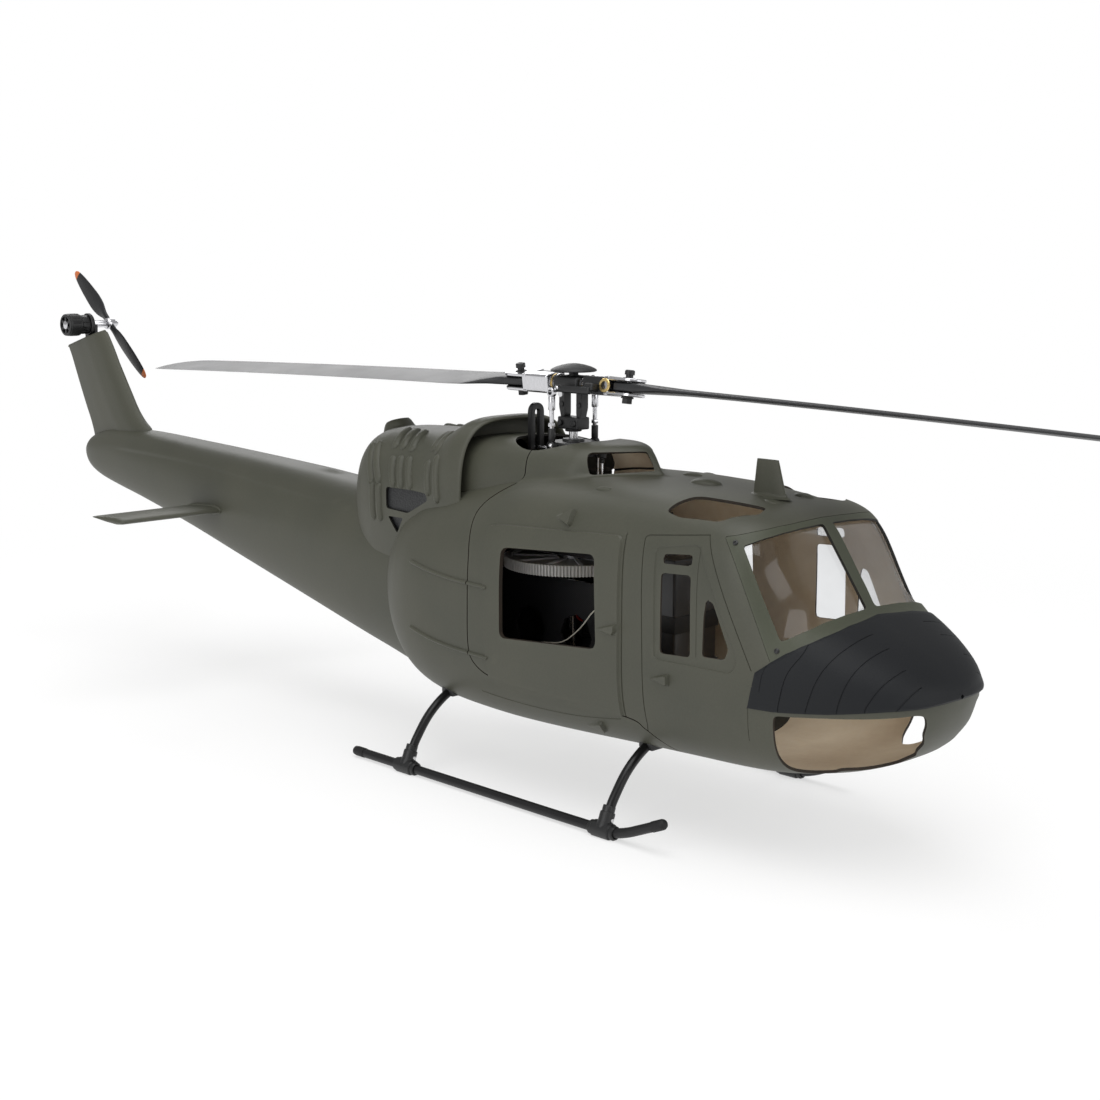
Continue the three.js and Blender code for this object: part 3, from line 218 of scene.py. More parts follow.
class Volume:
    """Volume lofted along y from a table; calling it gives a first-order signed distance.
    The columns are smoothed so that the reflections run without kinks."""

    def __init__(self, table, smooth, keep_ends=4.0, base=None):
        self.base = base        # None for closed sections
        self.y = np.arange(table[0, 0], table[-1, 0] + 1e-6, Y_GRID)
        weights = np.exp(-0.5 * (np.arange(-SPAN, SPAN + 1) * Y_GRID / smooth) ** 2)
        weights /= weights.sum()
        from_end = np.minimum(self.y - self.y[0], self.y[-1] - self.y)
        share = np.clip(from_end / keep_ends, 0, 1)
        self.columns = []
        for column in table.T[1:]:
            fine = pchip(table[:, 0], column, self.y)
            padded = np.concatenate([2 * fine[0] - fine[SPAN:0:-1], fine,
                                     2 * fine[-1] - fine[-2:-SPAN - 2:-1]])
            smoothed = np.convolve(padded, weights, "valid")
            self.columns.append(fine * (1 - share) + smoothed * share)

    def at(self, y):
        return [np.interp(y, self.y, column) for column in self.columns]

    def level(self, points):
        """Zero on the skin and negative inside, but not yet in millimetres."""
        x, y, z = np.abs(points[:, 0]), points[:, 1], points[:, 2]
        y_near = np.clip(y, self.y[0], self.y[-1])
        if self.base is None:
            top, keel, width, waist, upper, lower = self.at(y_near)
            above = z >= waist
            height = np.where(above, top - waist, waist - keel)
            power = np.where(above, upper, lower)
            rise = np.abs(z - waist)
        else:
            top, width, power = self.at(y_near)
            height = top - self.base
            rise = np.maximum(z - self.base, 0)
        scaled = (x / width) ** power + (rise / np.maximum(height, 0.1)) ** power
        return scaled ** (1 / power) - 1 + np.abs(y - y_near) / 30

    def both(self, points):
        """Signed distance and its direction."""
        step = 0.05
        value = self.level(points)
        slope = np.stack([(self.level(points + axis * step) - self.level(points - axis * step))
                          / (2 * step) for axis in np.eye(3)], -1)
        length = np.maximum(np.linalg.norm(slope, axis=-1), 2e-3)
        return value / length, slope / length[:, None]

    def __call__(self, points):
        return self.both(points)[0]

    def stations(self, start, end, step):
        """y values spaced evenly along the outline, so that blunt ends get their share."""
        y = np.arange(start, end + 1e-6, Y_GRID)
        columns = self.at(y)[:3 if self.base is None else 2]
        run = np.maximum.reduce([np.hypot(np.diff(y), np.diff(c)) for c in columns])
        length = np.concatenate([[0], np.cumsum(run)])
        return np.interp(np.linspace(0, length[-1], int(length[-1] / step) + 1), length, y)


def resample(x, z, count):
    length = np.concatenate([[0], np.cumsum(np.hypot(np.diff(x), np.diff(z)))])
    even = np.linspace(0, length[-1], count)
    return np.interp(even, length, x), np.interp(even, length, z)


def hull_ring(columns, count):
    """Closed section: x and z of its points."""
    top, keel, width, waist, upper, lower = columns
    cos, sin = np.maximum(np.cos(SECTION_ANGLES), 0), np.sin(SECTION_ANGLES)
    power = np.where(sin >= 0, upper, lower)
    height = np.where(sin >= 0, top - waist, waist - keel)
    radius = ((cos / width) ** power + (np.abs(sin) / height) ** power) ** (-1 / power)
    x, z = resample(radius * cos, waist + radius * sin, count // 2 + 1)
    return np.concatenate([x, -x[-2:0:-1]]), np.concatenate([z, z[-2:0:-1]])


def arch_ring(columns, base, count, floor):
    """Open arch that runs down to the floor; the walls of a tall one lean in towards it."""
    top, width, power = columns
    angles = np.linspace(0, math.pi / 2, 900)
    cos, sin = np.maximum(np.cos(angles), 0), np.sin(angles)
    radius = ((cos / width) ** power + (sin / (top - base)) ** power) ** (-1 / power)
    down = np.linspace(1, 0, 12)[:-1]
    lean = 0.16 if base - floor > 20 else 0.0
    x, z = resample(np.concatenate([width * (1 - lean * down ** 1.6), radius * cos]),
                    np.concatenate([base + (floor - base) * down, base + radius * sin]),
                    count // 2 + 1)
    x[-1] = 0
    return np.concatenate([x, -x[-2::-1]]), np.concatenate([z, z[-2::-1]])


# ------------------------------------------------------------------ sheets
def face_normals(points, tris):
    start = points[tris[:, 0]]
    return np.cross(points[tris[:, 1]] - start, points[tris[:, 2]] - start)


def vertex_normals(points, tris):
    faces = face_normals(points, tris)
    normals = np.zeros_like(points)
    for corner in range(3):
        for axis in range(3):
            normals[:, axis] += np.bincount(tris[:, corner], faces[:, axis], len(points))
    return unit(normals)


def triangle_edges(tris):
    return np.concatenate([tris[:, [0, 1]], tris[:, [1, 2]], tris[:, [2, 0]]])


def edge_keys(edges, count):
    """One number for each edge, whichever way it runs."""
    return edges.min(1).astype(np.int64) * count + edges.max(1)


class Sheet:
    """A triangulated skin with normals that can be split along the level lines of a field."""

    def __init__(self, points, tris, normals=None):
        self.points, self.tris = points, tris
        self.normals = vertex_normals(points, tris) if normals is None else normals

    def copy(self):
        return Sheet(self.points.copy(), self.tris.copy(), self.normals.copy())

    def face_out(self, volume):
        """Turns the faces away from the volume."""
        centre = self.points[self.tris].mean(1)
        step = unit(face_normals(self.points, self.tris)) * 0.5
        if np.mean(np.sign(volume(centre + step) - volume(centre - step))) < 0:
            self.tris = self.tris[:, ::-1]
            self.normals = -self.normals
        return self

    def split(self, field, level=0.0, near=np.inf):
        """Adds vertices where the level line crosses triangles with a corner near to it."""
        value = field(self.points) - level
        value[np.abs(value) < 0.03] = 0
        sign = np.sign(value)
        signs = sign[self.tris]
        crossed = (signs.min(1) < 0) & (signs.max(1) > 0)
        crossed &= np.abs(value[self.tris]).min(1) < near
        if not crossed.any():
            return self
        count = len(self.points)
        keys = np.unique(edge_keys(triangle_edges(self.tris[crossed]), count))
        keys = keys[sign[keys // count] * sign[keys % count] < 0]
        # only whole edges may be split, so the neighbours of a split edge are split too
        all_keys = edge_keys(triangle_edges(self.tris), count).reshape(3, -1).T
        hit = np.isin(all_keys, keys).any(1)
        cut = self.tris[hit]

        # find the crossing on each edge by false position
        start, end = keys // count, keys % count
        origin = self.points[start]
        edge = self.points[end] - origin
        t_low, t_high = np.zeros(len(keys)), np.ones(len(keys))
        low, high = value[start], value[end]
        t = low / (low - high)
        for _ in range(3):
            here = field(origin + t[:, None] * edge) - level
            same = np.sign(here) == np.sign(low)
            t_low, low = np.where(same, t, t_low), np.where(same, here, low)
            t_high, high = np.where(same, t_high, t), np.where(same, high, here)
            share = np.where(np.abs(low - high) > 1e-9, low / (low - high + 1e-30), 0.5)
            t = t_low + (t_high - t_low) * share
        t = np.clip(t, 0.02, 0.98)[:, None]

        # the new points follow the bend of the skin
        from_normal, to_normal = self.normals[start], self.normals[end]
        normal = unit(from_normal * (1 - t) + to_normal * t)
        bend = -((edge * from_normal).sum(1) - (edge * to_normal).sum(1))[:, None] / 2
        limit = 0.25 * np.linalg.norm(edge, axis=1)[:, None]
        bend = np.where(np.abs(bend) < limit, bend, 0)
        added = origin + t * edge + normal * bend * t * (1 - t)
        self.points = np.concatenate([self.points, added])
        self.normals = np.concatenate([self.normals, normal])

        found = np.minimum(np.searchsorted(keys, all_keys[hit]), len(keys) - 1)
        middles = np.where(keys[found] == all_keys[hit], count + found, -1)
        cuts = (middles >= 0).sum(1)

        def rolled(rows, first):
            order = (np.arange(3)[None] + first[:, None]) % 3
            return [*np.take_along_axis(cut[rows], order, 1).T,
                    *np.take_along_axis(middles[rows], order, 1).T]

        once, twice = cuts == 1, cuts == 2
        apex, right, left, middle, _, _ = rolled(once, np.argmax(middles[once] >= 0, 1))
        made = [(apex, middle, left), (middle, right, left)]
        # with two cuts the apex is the corner opposite the whole edge
        apex, right, left, on_right, _, on_left = rolled(
            twice, np.argmax(middles[twice] < 0, 1) + 2)
        made += [(apex, on_right, on_left), (on_right, right, left), (on_right, left, on_left)]
        self.tris = np.concatenate([self.tris[~hit]] + [np.stack(tri, 1) for tri in made])
        return self

    def keep(self, mask):
        """Keeps the triangles whose centres pass the mask."""
        self.tris = self.tris[mask(self.points[self.tris].mean(1))]
        used, inverse = np.unique(self.tris, return_inverse=True)
        self.points, self.normals = self.points[used], self.normals[used]
        self.tris = inverse.reshape(-1, 3)
        return self

    def cut(self, field, side=1):
        """Keeps the part where the field has the sign of side."""
        self.split(field)
        return self.keep(lambda centres: field(centres) * side > 0)


def sheet_from_rings(rings, volume):
    rows, count = len(rings), len(rings[0])
    around = count if volume.base is None else count - 1
    i, j = np.meshgrid(np.arange(rows - 1), np.arange(around), indexing="ij")
    near, beside = (i * count + j).ravel(), (i * count + (j + 1) % count).ravel()
    tris = np.concatenate([np.stack([near, beside, beside + count], 1),
                           np.stack([near, beside + count, near + count], 1)])
    return Sheet(np.concatenate(rings), tris).face_out(volume)


def skin(volume, start, end, step, count, floor=None):
    """Sheet on a volume between two y values; only arches have a floor."""
    rings = []
    for y in volume.stations(start, end, step):
        if volume.base is None:
            x, z = hull_ring(volume.at(y), count)
        else:
            x, z = arch_ring(volume.at(y), volume.base, count, floor)
        rings.append(xyz(x, y, z))
    return sheet_from_rings(rings, volume)


def shell(sheet, outer, inner, shift=0.0):
    """Closed wall between two offsets of a sheet: points, triangles and the kind of each
    triangle, 0 outer, 1 inner or 2 rim."""
    count, tris = len(sheet.points), sheet.tris
    edges = triangle_edges(tris)
    _, first, uses = np.unique(edge_keys(edges, count), return_index=True, return_counts=True)
    start, end = edges[first[uses == 1]].T
    rim = np.concatenate([np.stack([end, start, start + count], 1),
                          np.stack([end, start + count, end + count], 1)])
    points = np.concatenate([sheet.points + sheet.normals * np.reshape(offset, (-1, 1)) + shift
                             for offset in (outer, inner)])
    kinds = np.repeat([0, 1, 2], [len(tris), len(tris), len(rim)])
    return points, np.concatenate([tris, tris[:, ::-1] + count, rim]), kinds


def fillet(sheet, volume, reach):
    """Displacement that rounds the inner corner where a sheet meets another volume."""
    distance, direction = volume.both(sheet.points)
    near = np.clip(distance, 0, reach)
    weight = 0.5 * (1 - near / reach)[:, None]
    blend = sheet.normals * (1 - weight) + unit(direction) * weight
    size = ((reach - near) ** 2 / (4 * reach))[:, None]
    step = size * blend / np.maximum((blend * blend).sum(1), 0.15)[:, None]
    return np.where((distance < reach)[:, None], step, 0)


# ------------------------------------------------------------------ writing meshes
def register(mesh, mats, node, body, angle):
    """Finishes a mesh and tells the frame which body it rides on and what it replaces."""
    mesh.set_sharp_from_angle(angle=math.radians(angle))
    mesh.validate()
    piece = bpy.data.objects.new(mesh.name, mesh)
    bpy.context.scene.collection.objects.link(piece)
    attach(piece, body)
    if node:
        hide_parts(node)


def write_shell(name, parts, mats, node, body="airframe", angle=32):
    """Joins closed walls in one mesh; three materials stand for outer, inner and rim."""
    points, tris, kinds, count = [], [], [], 0
    for part_points, part_tris, part_kinds in parts:
        points.append(part_points)
        tris.append(part_tris + count)
        kinds.append(part_kinds)
        count += len(part_points)
    points = (np.concatenate(points) + MAST) * MM
    tris = np.concatenate(tris).astype(np.int32)
    mesh = bpy.data.meshes.new(name)
    mesh.vertices.add(count)
    mesh.vertices.foreach_set("co", points.astype(np.float32).ravel())
    mesh.loops.add(tris.size)
    mesh.loops.foreach_set("vertex_index", tris.ravel())
    mesh.polygons.add(len(tris))
    mesh.polygons.foreach_set("loop_start", np.arange(0, tris.size, 3, dtype=np.int32))
    for material in mats:
        mesh.materials.append(material)
    if len(mats) > 1:
        mesh.polygons.foreach_set("material_index", np.concatenate(kinds).astype(np.int32))
    mesh.update(calc_edges=True)
    mesh.polygons.foreach_set("use_smooth", np.ones(len(tris), bool))
    register(mesh, mats, node, body, angle)


def fan(face):
    """Triangles of a polygon."""
    return [[face[0], face[j], face[j + 1]] for j in range(1, len(face) - 1)]


def solid(*outline):
    """Lathe profile of (radius, height) closed on the axis at both ends."""
    return [(0, outline[0][1]), *outline, (0, outline[-1][1])]


def disc(radius, low, high):
    return solid((radius, low), (radius, high))


def circles(profile, centre, axis, segments):
    """Rings of points for a profile of (radius, height along the axis)."""
    axis = unit(np.array(axis, float))
    across = unit(np.cross(axis, [0.31, 0.95, 0.12]))
    other = np.cross(axis, across)
    turn = (np.arange(segments) * 2 * math.pi / segments)[:, None]
    circle = np.cos(turn) * across + np.sin(turn) * other
    return [np.array(centre) + axis * height + max(radius, 0.02) * circle
            for radius, height in profile]


class Part:
    """Collects closed solids in one mesh; mat is the material slot of a solid."""

    def __init__(self):
        self.points, self.faces, self.mats, self.count = [], [], [], 0

    def add(self, points, faces, mat):
        self.points.append(points)
        self.faces += [[i + self.count for i in face] for face in faces]
        self.mats += [mat] * len(faces)
        self.count += len(points)

    def loft(self, rings, mat=0):
        """Skin over a row of rings, closed by flat ends and turned outwards."""
        size = len(rings[0])
        points = np.concatenate([np.asarray(ring, float) for ring in rings])
        faces = []
        for k in range(len(rings) - 1):
            for i in range(size):
                near, beside = k * size + i, k * size + (i + 1) % size
                faces.append([near, beside, beside + size, near + size])
        faces.append(list(range(size))[::-1])
        faces.append([len(points) - size + i for i in range(size)])
        corners = points[np.array([tri for face in faces for tri in fan(face)])]
        if (corners[:, 0] * np.cross(corners[:, 1], corners[:, 2])).sum() < 0:
            faces = [face[::-1] for face in faces]
        self.add(points, faces, mat)

    def lathe(self, profile, centre=(0, 0, 0), axis=(0, 0, 1), segments=48, mat=0):
        self.loft(circles(profile, centre, axis, segments), mat)

    def rod(self, start, end, radius, segments=24, mat=0, bevel=0.25, end_radius=None):
        start, end = np.array(start, float), np.array(end, float)
        length = np.linalg.norm(end - start)
        tip = radius if end_radius is None else end_radius
        bevel = min(bevel, radius * 0.45, length * 0.3)
        self.lathe([(radius - bevel, 0), (radius - bevel * 0.3, bevel * 0.3), (radius, bevel),
                    (tip, length - bevel), (tip - bevel * 0.3, length - bevel * 0.3),
                    (tip - bevel, length)], start, end - start, segments, mat)

    def ring(self, start, end, outer, inner, segments, mat=0, bevel=0.25):
        """Hollow sleeve."""
        start, end = np.array(start, float), np.array(end, float)
        length = np.linalg.norm(end - start)
        profile = [(inner, 0), (outer - bevel, 0), (outer, bevel),
                   (outer, length - bevel), (outer - bevel, length), (inner, length)]
        points = np.concatenate(circles(profile, start, end - start, segments))
        faces = []
        for k in range(len(profile)):
            row, following = k * segments, (k + 1) % len(profile) * segments
            for i in range(segments):
                j = (i + 1) % segments
                faces.append([row + i, row + j, following + j, following + i])
        self.add(points, faces, mat)

    def box(self, low, high, mat=0, bevel=0.4, steps=2):
        """Box with rounded edges."""
        low, high = np.array(low, float), np.array(high, float)
        bevel = min(bevel, float((high - low).min()) * 0.45)
        turns = np.linspace(0, math.pi / 2, steps + 1)
        middle, half = (low + high) / 2, (high - low) / 2
        levels = [(-half[2] + bevel - bevel * math.cos(a), bevel - bevel * math.sin(a))
                  for a in turns]
        levels += [(half[2] - bevel + bevel * math.sin(a), bevel - bevel * math.cos(a))
                   for a in turns]
        rings = []
        for height, inset in levels:
            ring = []
            for k, (sx, sy) in enumerate(((1, 1), (-1, 1), (-1, -1), (1, -1))):
                for turn in k * math.pi / 2 + turns:
                    ring.append([
                        middle[0] + sx * (half[0] - bevel) + (bevel - inset) * math.cos(turn),
                        middle[1] + sy * (half[1] - bevel) + (bevel - inset) * math.sin(turn),
                        middle[2] + height])
            rings.append(ring)
        self.loft(rings, mat)

    def boxes_around(self, count, boxes, axis="Z", phase=0.5, shift=(0, 0, 0)):
        """Repeats boxes of (low, high, mat, bevel) about an axis; phase is in steps."""
        for k in range(count):
            for box in boxes:
                self.box(*box)
            degrees = math.degrees((k + phase) / count * 2 * math.pi)
            self.move(rotation(axis, degrees), shift, last=len(boxes))

    def prism(self, outline, axis, low, high, mat=0, bevel=0.3):
        """Extruded outline with a small bevel, drawn in the other two axes in order."""
        outline = np.asarray(outline, float)
        x, y = outline.T
        if np.sum(x * np.roll(y, -1) - y * np.roll(x, -1)) < 0:
            outline = outline[::-1]
        ahead = unit(np.roll(outline, -1, 0) - outline)
        both = ahead + np.roll(ahead, 1, 0)
        inward = unit(np.stack([-both[:, 1], both[:, 0]], 1))
        across = np.stack([-ahead[:, 1], ahead[:, 0]], 1)
        inset = bevel / np.maximum((inward * across).sum(1), 0.5)
        inner = outline + inward * inset[:, None]
        self.loft([np.insert(flat, axis, at, axis=1) for flat, at in (
            (inner, low), (outline, low + bevel), (outline, high - bevel), (inner, high))], mat)

    def tube(self, path, radius, segments):
        path = np.asarray(path, float)
        ahead = unit(np.gradient(path, axis=0))
        upright = [0.0, 0.0, 1.0] if abs(ahead[0][2]) < 0.9 else [1.0, 0, 0]
        across = unit(np.cross(ahead[0], upright))
        turn = (np.arange(segments) * 2 * math.pi / segments)[:, None]
        rings = []
        for point, along in zip(path, ahead):
            across = unit(across - along * np.dot(across, along))
            other = np.cross(along, across)
            rings.append(point + radius * (np.cos(turn) * across + np.sin(turn) * other))
        self.loft(rings)

    def ball(self, centre, radius, mat):
        turns = np.linspace(-math.pi / 2, math.pi / 2, 11)
        self.lathe([(radius * math.cos(a), radius * math.sin(a)) for a in turns],
                   centre, segments=24, mat=mat)

    def hexagon(self, centre, radius, height, mat=0):
        self.lathe(solid((radius * 0.93, 0), (radius, 0.3), (radius, height - 0.3),
                         (radius * 0.9, height)), centre, segments=6, mat=mat)

    def move(self, turn=np.eye(3), shift=(0, 0, 0), last=None):
        """Turns and shifts the last solids, or all of them."""
        first = 0 if last is None else len(self.points) - last
        for k in range(first, len(self.points)):
            self.points[k] = self.points[k] @ turn.T + np.array(shift, float)

    def finish(self, name, mats, node=None, body="airframe", slot="moulded_black", angle=35):
        mesh = bpy.data.meshes.new(name)
        points = (np.concatenate(self.points) + MAST) * MM
        mesh.from_pydata([tuple(point) for point in points], [], self.faces)
        for material in mats:
            mesh.materials.append(material)
        mesh.polygons.foreach_set("material_index", np.array(self.mats, np.int32))
        mesh.polygons.foreach_set("use_smooth", np.ones(len(self.faces), bool))
        mesh.update()
        register(mesh, mats, node, body, angle)


# ------------------------------------------------------------------ shader helpers
def new_material(name):
    material = bpy.data.materials.new(name)
    material.use_nodes = True
    tree = material.node_tree
    return material, tree, tree.nodes.get("Principled BSDF")


def add_node(tree, kind, inputs=None, **settings):
    """New shader node; an input is either a value or a socket to link from."""
    made = tree.nodes.new("ShaderNode" + kind)
    for key, value in settings.items():
        setattr(made, key, value)
    for key, value in (inputs or {}).items():
        if isinstance(value, bpy.types.NodeSocket):
            tree.links.new(value, made.inputs[key])
        else:
            made.inputs[key].default_value = value
    return made


def object_coords(tree, **mapping):
    """Object coordinates, sent through a mapping when its Scale or Rotation is given."""
    coords = add_node(tree, "TexCoord").outputs["Object"]
    if mapping:
        coords = add_node(tree, "Mapping", {0: coords, **mapping}).outputs[0]
    return coords


def noise(tree, scale, detail, **mapping):
    return add_node(tree, "TexNoise", {
        "Scale": scale, "Detail": detail, "Roughness": 0.55,
        "Vector": object_coords(tree, **mapping)}).outputs["Fac"]


def ramp(tree, factor, low, low_colour, high, high_colour):
    """Colour ramp between two stops."""
    made = add_node(tree, "ValToRGB", {0: factor})
    elements = made.color_ramp.elements
    for element, position, colour in zip(elements, (low, high), (low_colour, high_colour)):
        element.position = position
        element.color = (*colour, 1)
    return made.outputs[0]


def map_range(tree, value, low, high):
    return add_node(tree, "MapRange", {"To Min": low, "To Max": high, "Value": value}).outputs[0]


def bump(tree, surface, height, strength, distance, below=None):
    """Bump on a surface, on top of another bump when one is given."""
    inputs = {"Strength": strength, "Distance": distance, "Height": height}
    if below is not None:
        inputs["Normal"] = below
    normal = add_node(tree, "Bump", inputs).outputs[0]
    tree.links.new(normal, surface.inputs["Normal"])
    return normal


def srgb(*channels):
    """Linear colour from 8-bit sRGB channels."""
    shares = [channel / 255 for channel in channels]
    return tuple(c / 12.92 if c <= 0.04045 else ((c + 0.055) / 1.055) ** 2.4 for c in shares)


def paint(name, dark, light, rough, grain=900, bumps=0.25, specular=0.4, worn=None):
    """Matt sprayed paint: cloudy tone, fine orange peel and a slight wear along edges."""
    material, tree, surface = new_material(name)
    clouds = noise(tree, scale=16, detail=5)
    colour = ramp(tree, clouds, 0.3, dark, 0.72, light)
    peel = noise(tree, scale=grain, detail=2)
    colour = add_node(tree, "MixRGB", {0: 0.10, 1: colour, 2: peel},
                      blend_type="OVERLAY").outputs[0]
    if worn:
        geometry = add_node(tree, "NewGeometry")
        edges = ramp(tree, geometry.outputs["Pointiness"], 0.515, (0, 0, 0), 0.56, (1, 1, 1))
        patches = noise(tree, scale=240, detail=3)
        wear = add_node(tree, "Math", {0: edges, 1: patches}, operation="MULTIPLY")
        amount = add_node(tree, "Math", {0: wear.outputs[0], 1: 0.12}, operation="MULTIPLY")
        colour = add_node(tree, "MixRGB", {0: amount.outputs[0], 1: colour,
                                           2: (*worn, 1)}).outputs[0]
    tree.links.new(colour, surface.inputs["Base Color"])
    tree.links.new(map_range(tree, clouds, *rough), surface.inputs["Roughness"])
    surface.inputs["Specular IOR Level"].default_value = specular
    fine = bump(tree, surface, peel, strength=bumps, distance=0.00012)
    bump(tree, surface, noise(tree, scale=60, detail=2), strength=0.12, distance=0.0006,
         below=fine)
    return material


def metal(name, colour, rough, stretch=(1, 1, 1), scale=300, metallic=1.0, variation=0.12):
    """Metal with a stretched grain."""
    material, tree, surface = new_material(name)
    grain = noise(tree, scale=scale, detail=4, Scale=stretch)
    dark = tuple(c * (1 - variation) for c in colour)
    light = tuple(min(1, c * (1 + variation)) for c in colour)
    tree.links.new(ramp(tree, grain, 0.3, dark, 0.7, light), surface.inputs["Base Color"])
    surface.inputs["Metallic"].default_value = metallic
    tree.links.new(map_range(tree, grain, rough * 0.8, rough * 1.3),
                   surface.inputs["Roughness"])
    bump(tree, surface, grain, strength=0.12, distance=0.0001)
    return material


def plastic(name, dark, rough, grain=1500, specular=0.5, light=None, coat=0.0):
    """Moulded plastic with a fine grain and slightly uneven colour."""
    material, tree, surface = new_material(name)
    clouds = noise(tree, scale=40, detail=4)
    pores = noise(tree, scale=grain, detail=2)
    light = light or tuple(c * 1.35 + 0.002 for c in dark)
    tree.links.new(ramp(tree, clouds, 0.35, dark, 0.75, light), surface.inputs["Base Color"])
    tree.links.new(map_range(tree, clouds, rough * 0.85, rough * 1.2),
                   surface.inputs["Roughness"])
    surface.inputs["Specular IOR Level"].default_value = specular
    if coat:
        surface.inputs["Coat Weight"].default_value = coat
        surface.inputs["Coat Roughness"].default_value = 0.12
    bump(tree, surface, pores, strength=0.15, distance=0.00008)
    return material


def carbon_material():
    """Woven sheet seen under a clear resin."""
    material, tree, surface = new_material("carbon_sheet")
    threads = []
    for angle in (math.radians(45), math.radians(-45)):
        coords = object_coords(tree, Rotation=(angle, angle, 0))
        wave = add_node(tree, "TexWave", {"Scale": 520, "Distortion": 0.6, 0: coords})
        threads.append(wave.outputs["Fac"])
    woven = add_node(tree, "Math", {0: threads[0], 1: threads[1]},
                     operation="MULTIPLY").outputs[0]
    colour = ramp(tree, woven, 0.2, (0.008, 0.008, 0.009), 0.6, (0.03, 0.031, 0.034))
    tree.links.new(colour, surface.inputs["Base Color"])
    surface.inputs["Roughness"].default_value = 0.3
    surface.inputs["Coat Weight"].default_value = 0.5
    surface.inputs["Coat Roughness"].default_value = 0.1
    bump(tree, surface, woven, strength=0.1, distance=0.0001)
    return material


def glass_material():
    """Clear sheet that reflects more at grazing angles."""
    material, tree, _ = new_material("clear_sheet")
    tree.nodes.clear()
    output = add_node(tree, "OutputMaterial")
    tint = ramp(tree, noise(tree, scale=30, detail=3),
                0.3, (0.86, 0.865, 0.87), 0.7, (0.91, 0.915, 0.92))
    through = add_node(tree, "BsdfTransparent", {0: tint})
    glossy = add_node(tree, "BsdfGlossy", {"Roughness": 0.06, "Color": (0.9, 0.9, 0.9, 1)})
    facing = add_node(tree, "LayerWeight", {"Blend": 0.18})
    # reflected share = 0.4 * fresnel + 0.015
    share = add_node(tree, "Math", {0: facing.outputs["Fresnel"], 1: 0.4, 2: 0.015},
                     operation="MULTIPLY_ADD")
    mix = add_node(tree, "MixShader", {0: share.outputs[0], 1: through.outputs[0],
                                       2: glossy.outputs[0]})
    tree.links.new(mix.outputs[0], output.inputs[0])
    return material


def mesh_material():
    """Black wire mesh of the vents."""
    material, tree, surface = new_material("vent_mesh")
    coords = object_coords(tree, Rotation=(math.radians(45), 0, 0))
    cells = add_node(tree, "TexVoronoi", {"Scale": 900, "Vector": coords})
    distance = cells.outputs["Distance"]
    colour = ramp(tree, distance, 0.1, (0.002, 0.002, 0.0025), 0.6, (0.012, 0.013, 0.014))
    tree.links.new(colour, surface.inputs["Base Color"])
    surface.inputs["Roughness"].default_value = 0.5
    bump(tree, surface, distance, strength=0.6, distance=0.0003)
    return material


# ------------------------------------------------------------------ materials
OLIVE = paint("olive_paint", srgb(64, 65, 55), srgb(72, 72, 61), rough=(0.44, 0.56),
              worn=srgb(96, 96, 82))
FRAME_OLIVE = paint("olive_frame", srgb(60, 63, 50), srgb(67, 70, 56), rough=(0.46, 0.58),
                    worn=srgb(92, 94, 78))
INSIDE = paint("laminate_inside", srgb(196, 176, 150), srgb(232, 218, 194),
               rough=(0.5, 0.75), grain=260, bumps=0.5)
# Inner face of the rear shells and the cowl: a dark brown colour that stands for the painted
# shade inside the closed rear fuselage
SHADED_INSIDE = paint("rear_inside_painted_shade", srgb(48, 46, 40), srgb(60, 57, 49), rough=(0.6, 0.8),
                    grain=260, bumps=0.5)
CUT_EDGE = paint("cut_edge", srgb(30, 25, 19), srgb(48, 39, 29), rough=(0.6, 0.8))
DARK_EDGE = paint("cut_edge_dark", srgb(22, 21, 18), srgb(34, 32, 27), rough=(0.6, 0.8))
NOSE_BLACK = paint("nose_matt", srgb(19, 21, 24), srgb(24, 26, 29), rough=(0.52, 0.64),
                   grain=1300, bumps=0.5, specular=0.25)
BLACK = plastic("black_nylon", (0.006, 0.0062, 0.0065), rough=0.4)
GLOSS_BLACK = plastic("black_gloss", (0.004, 0.004, 0.0044), rough=0.3, coat=0.1,
                      specular=0.35)
RUBBER = plastic("black_rubber", (0.008, 0.008, 0.0085), rough=0.55, specular=0.3)
SKID_BLACK = plastic("skid_tube", (0.005, 0.005, 0.0055), rough=0.4, grain=2500,
                     specular=0.35)
CARBON = carbon_material()
ALLOY = metal("alloy_polished", (0.62, 0.62, 0.64), rough=0.2, stretch=(1, 6, 1), scale=240,
              variation=0.06)
MACHINED = metal("alloy_machined", (0.62, 0.63, 0.65), rough=0.34, stretch=(8, 1, 1),
                 scale=240)
STEEL = metal("steel_ground", (0.66, 0.66, 0.67), rough=0.22, stretch=(1, 1, 14), scale=200)
BRASS = metal("brass_turned", (0.83, 0.62, 0.26), rough=0.26, stretch=(6, 1, 6))
GEAR = plastic("gear_acetal", (0.40, 0.395, 0.38), rough=0.45, light=(0.50, 0.495, 0.48))
GEAR_WEB = plastic("gear_web", (0.60, 0.60, 0.61), rough=0.3, light=(0.72, 0.72, 0.74))
COPPER = metal("copper_winding", (0.75, 0.30, 0.12), rough=0.35, scale=900)
RED = plastic("red_anodised", (0.35, 0.012, 0.012), rough=0.3)
ORANGE = plastic("orange_tip", srgb(196, 104, 52), rough=0.45, light=srgb(208, 120, 66))
BATTERY = plastic("battery_wrap", (0.004, 0.0045, 0.006), rough=0.35,
                  light=(0.007, 0.008, 0.011), coat=0.15)
GREY = metal("controller_fins", (0.25, 0.25, 0.27), rough=0.4, scale=240, metallic=0.8)
WHITE = plastic("white_nylon", (0.5, 0.5, 0.48), rough=0.5, light=(0.58, 0.58, 0.55))
RED_WIRE = plastic("wire_red", (0.4, 0.015, 0.012), rough=0.35)
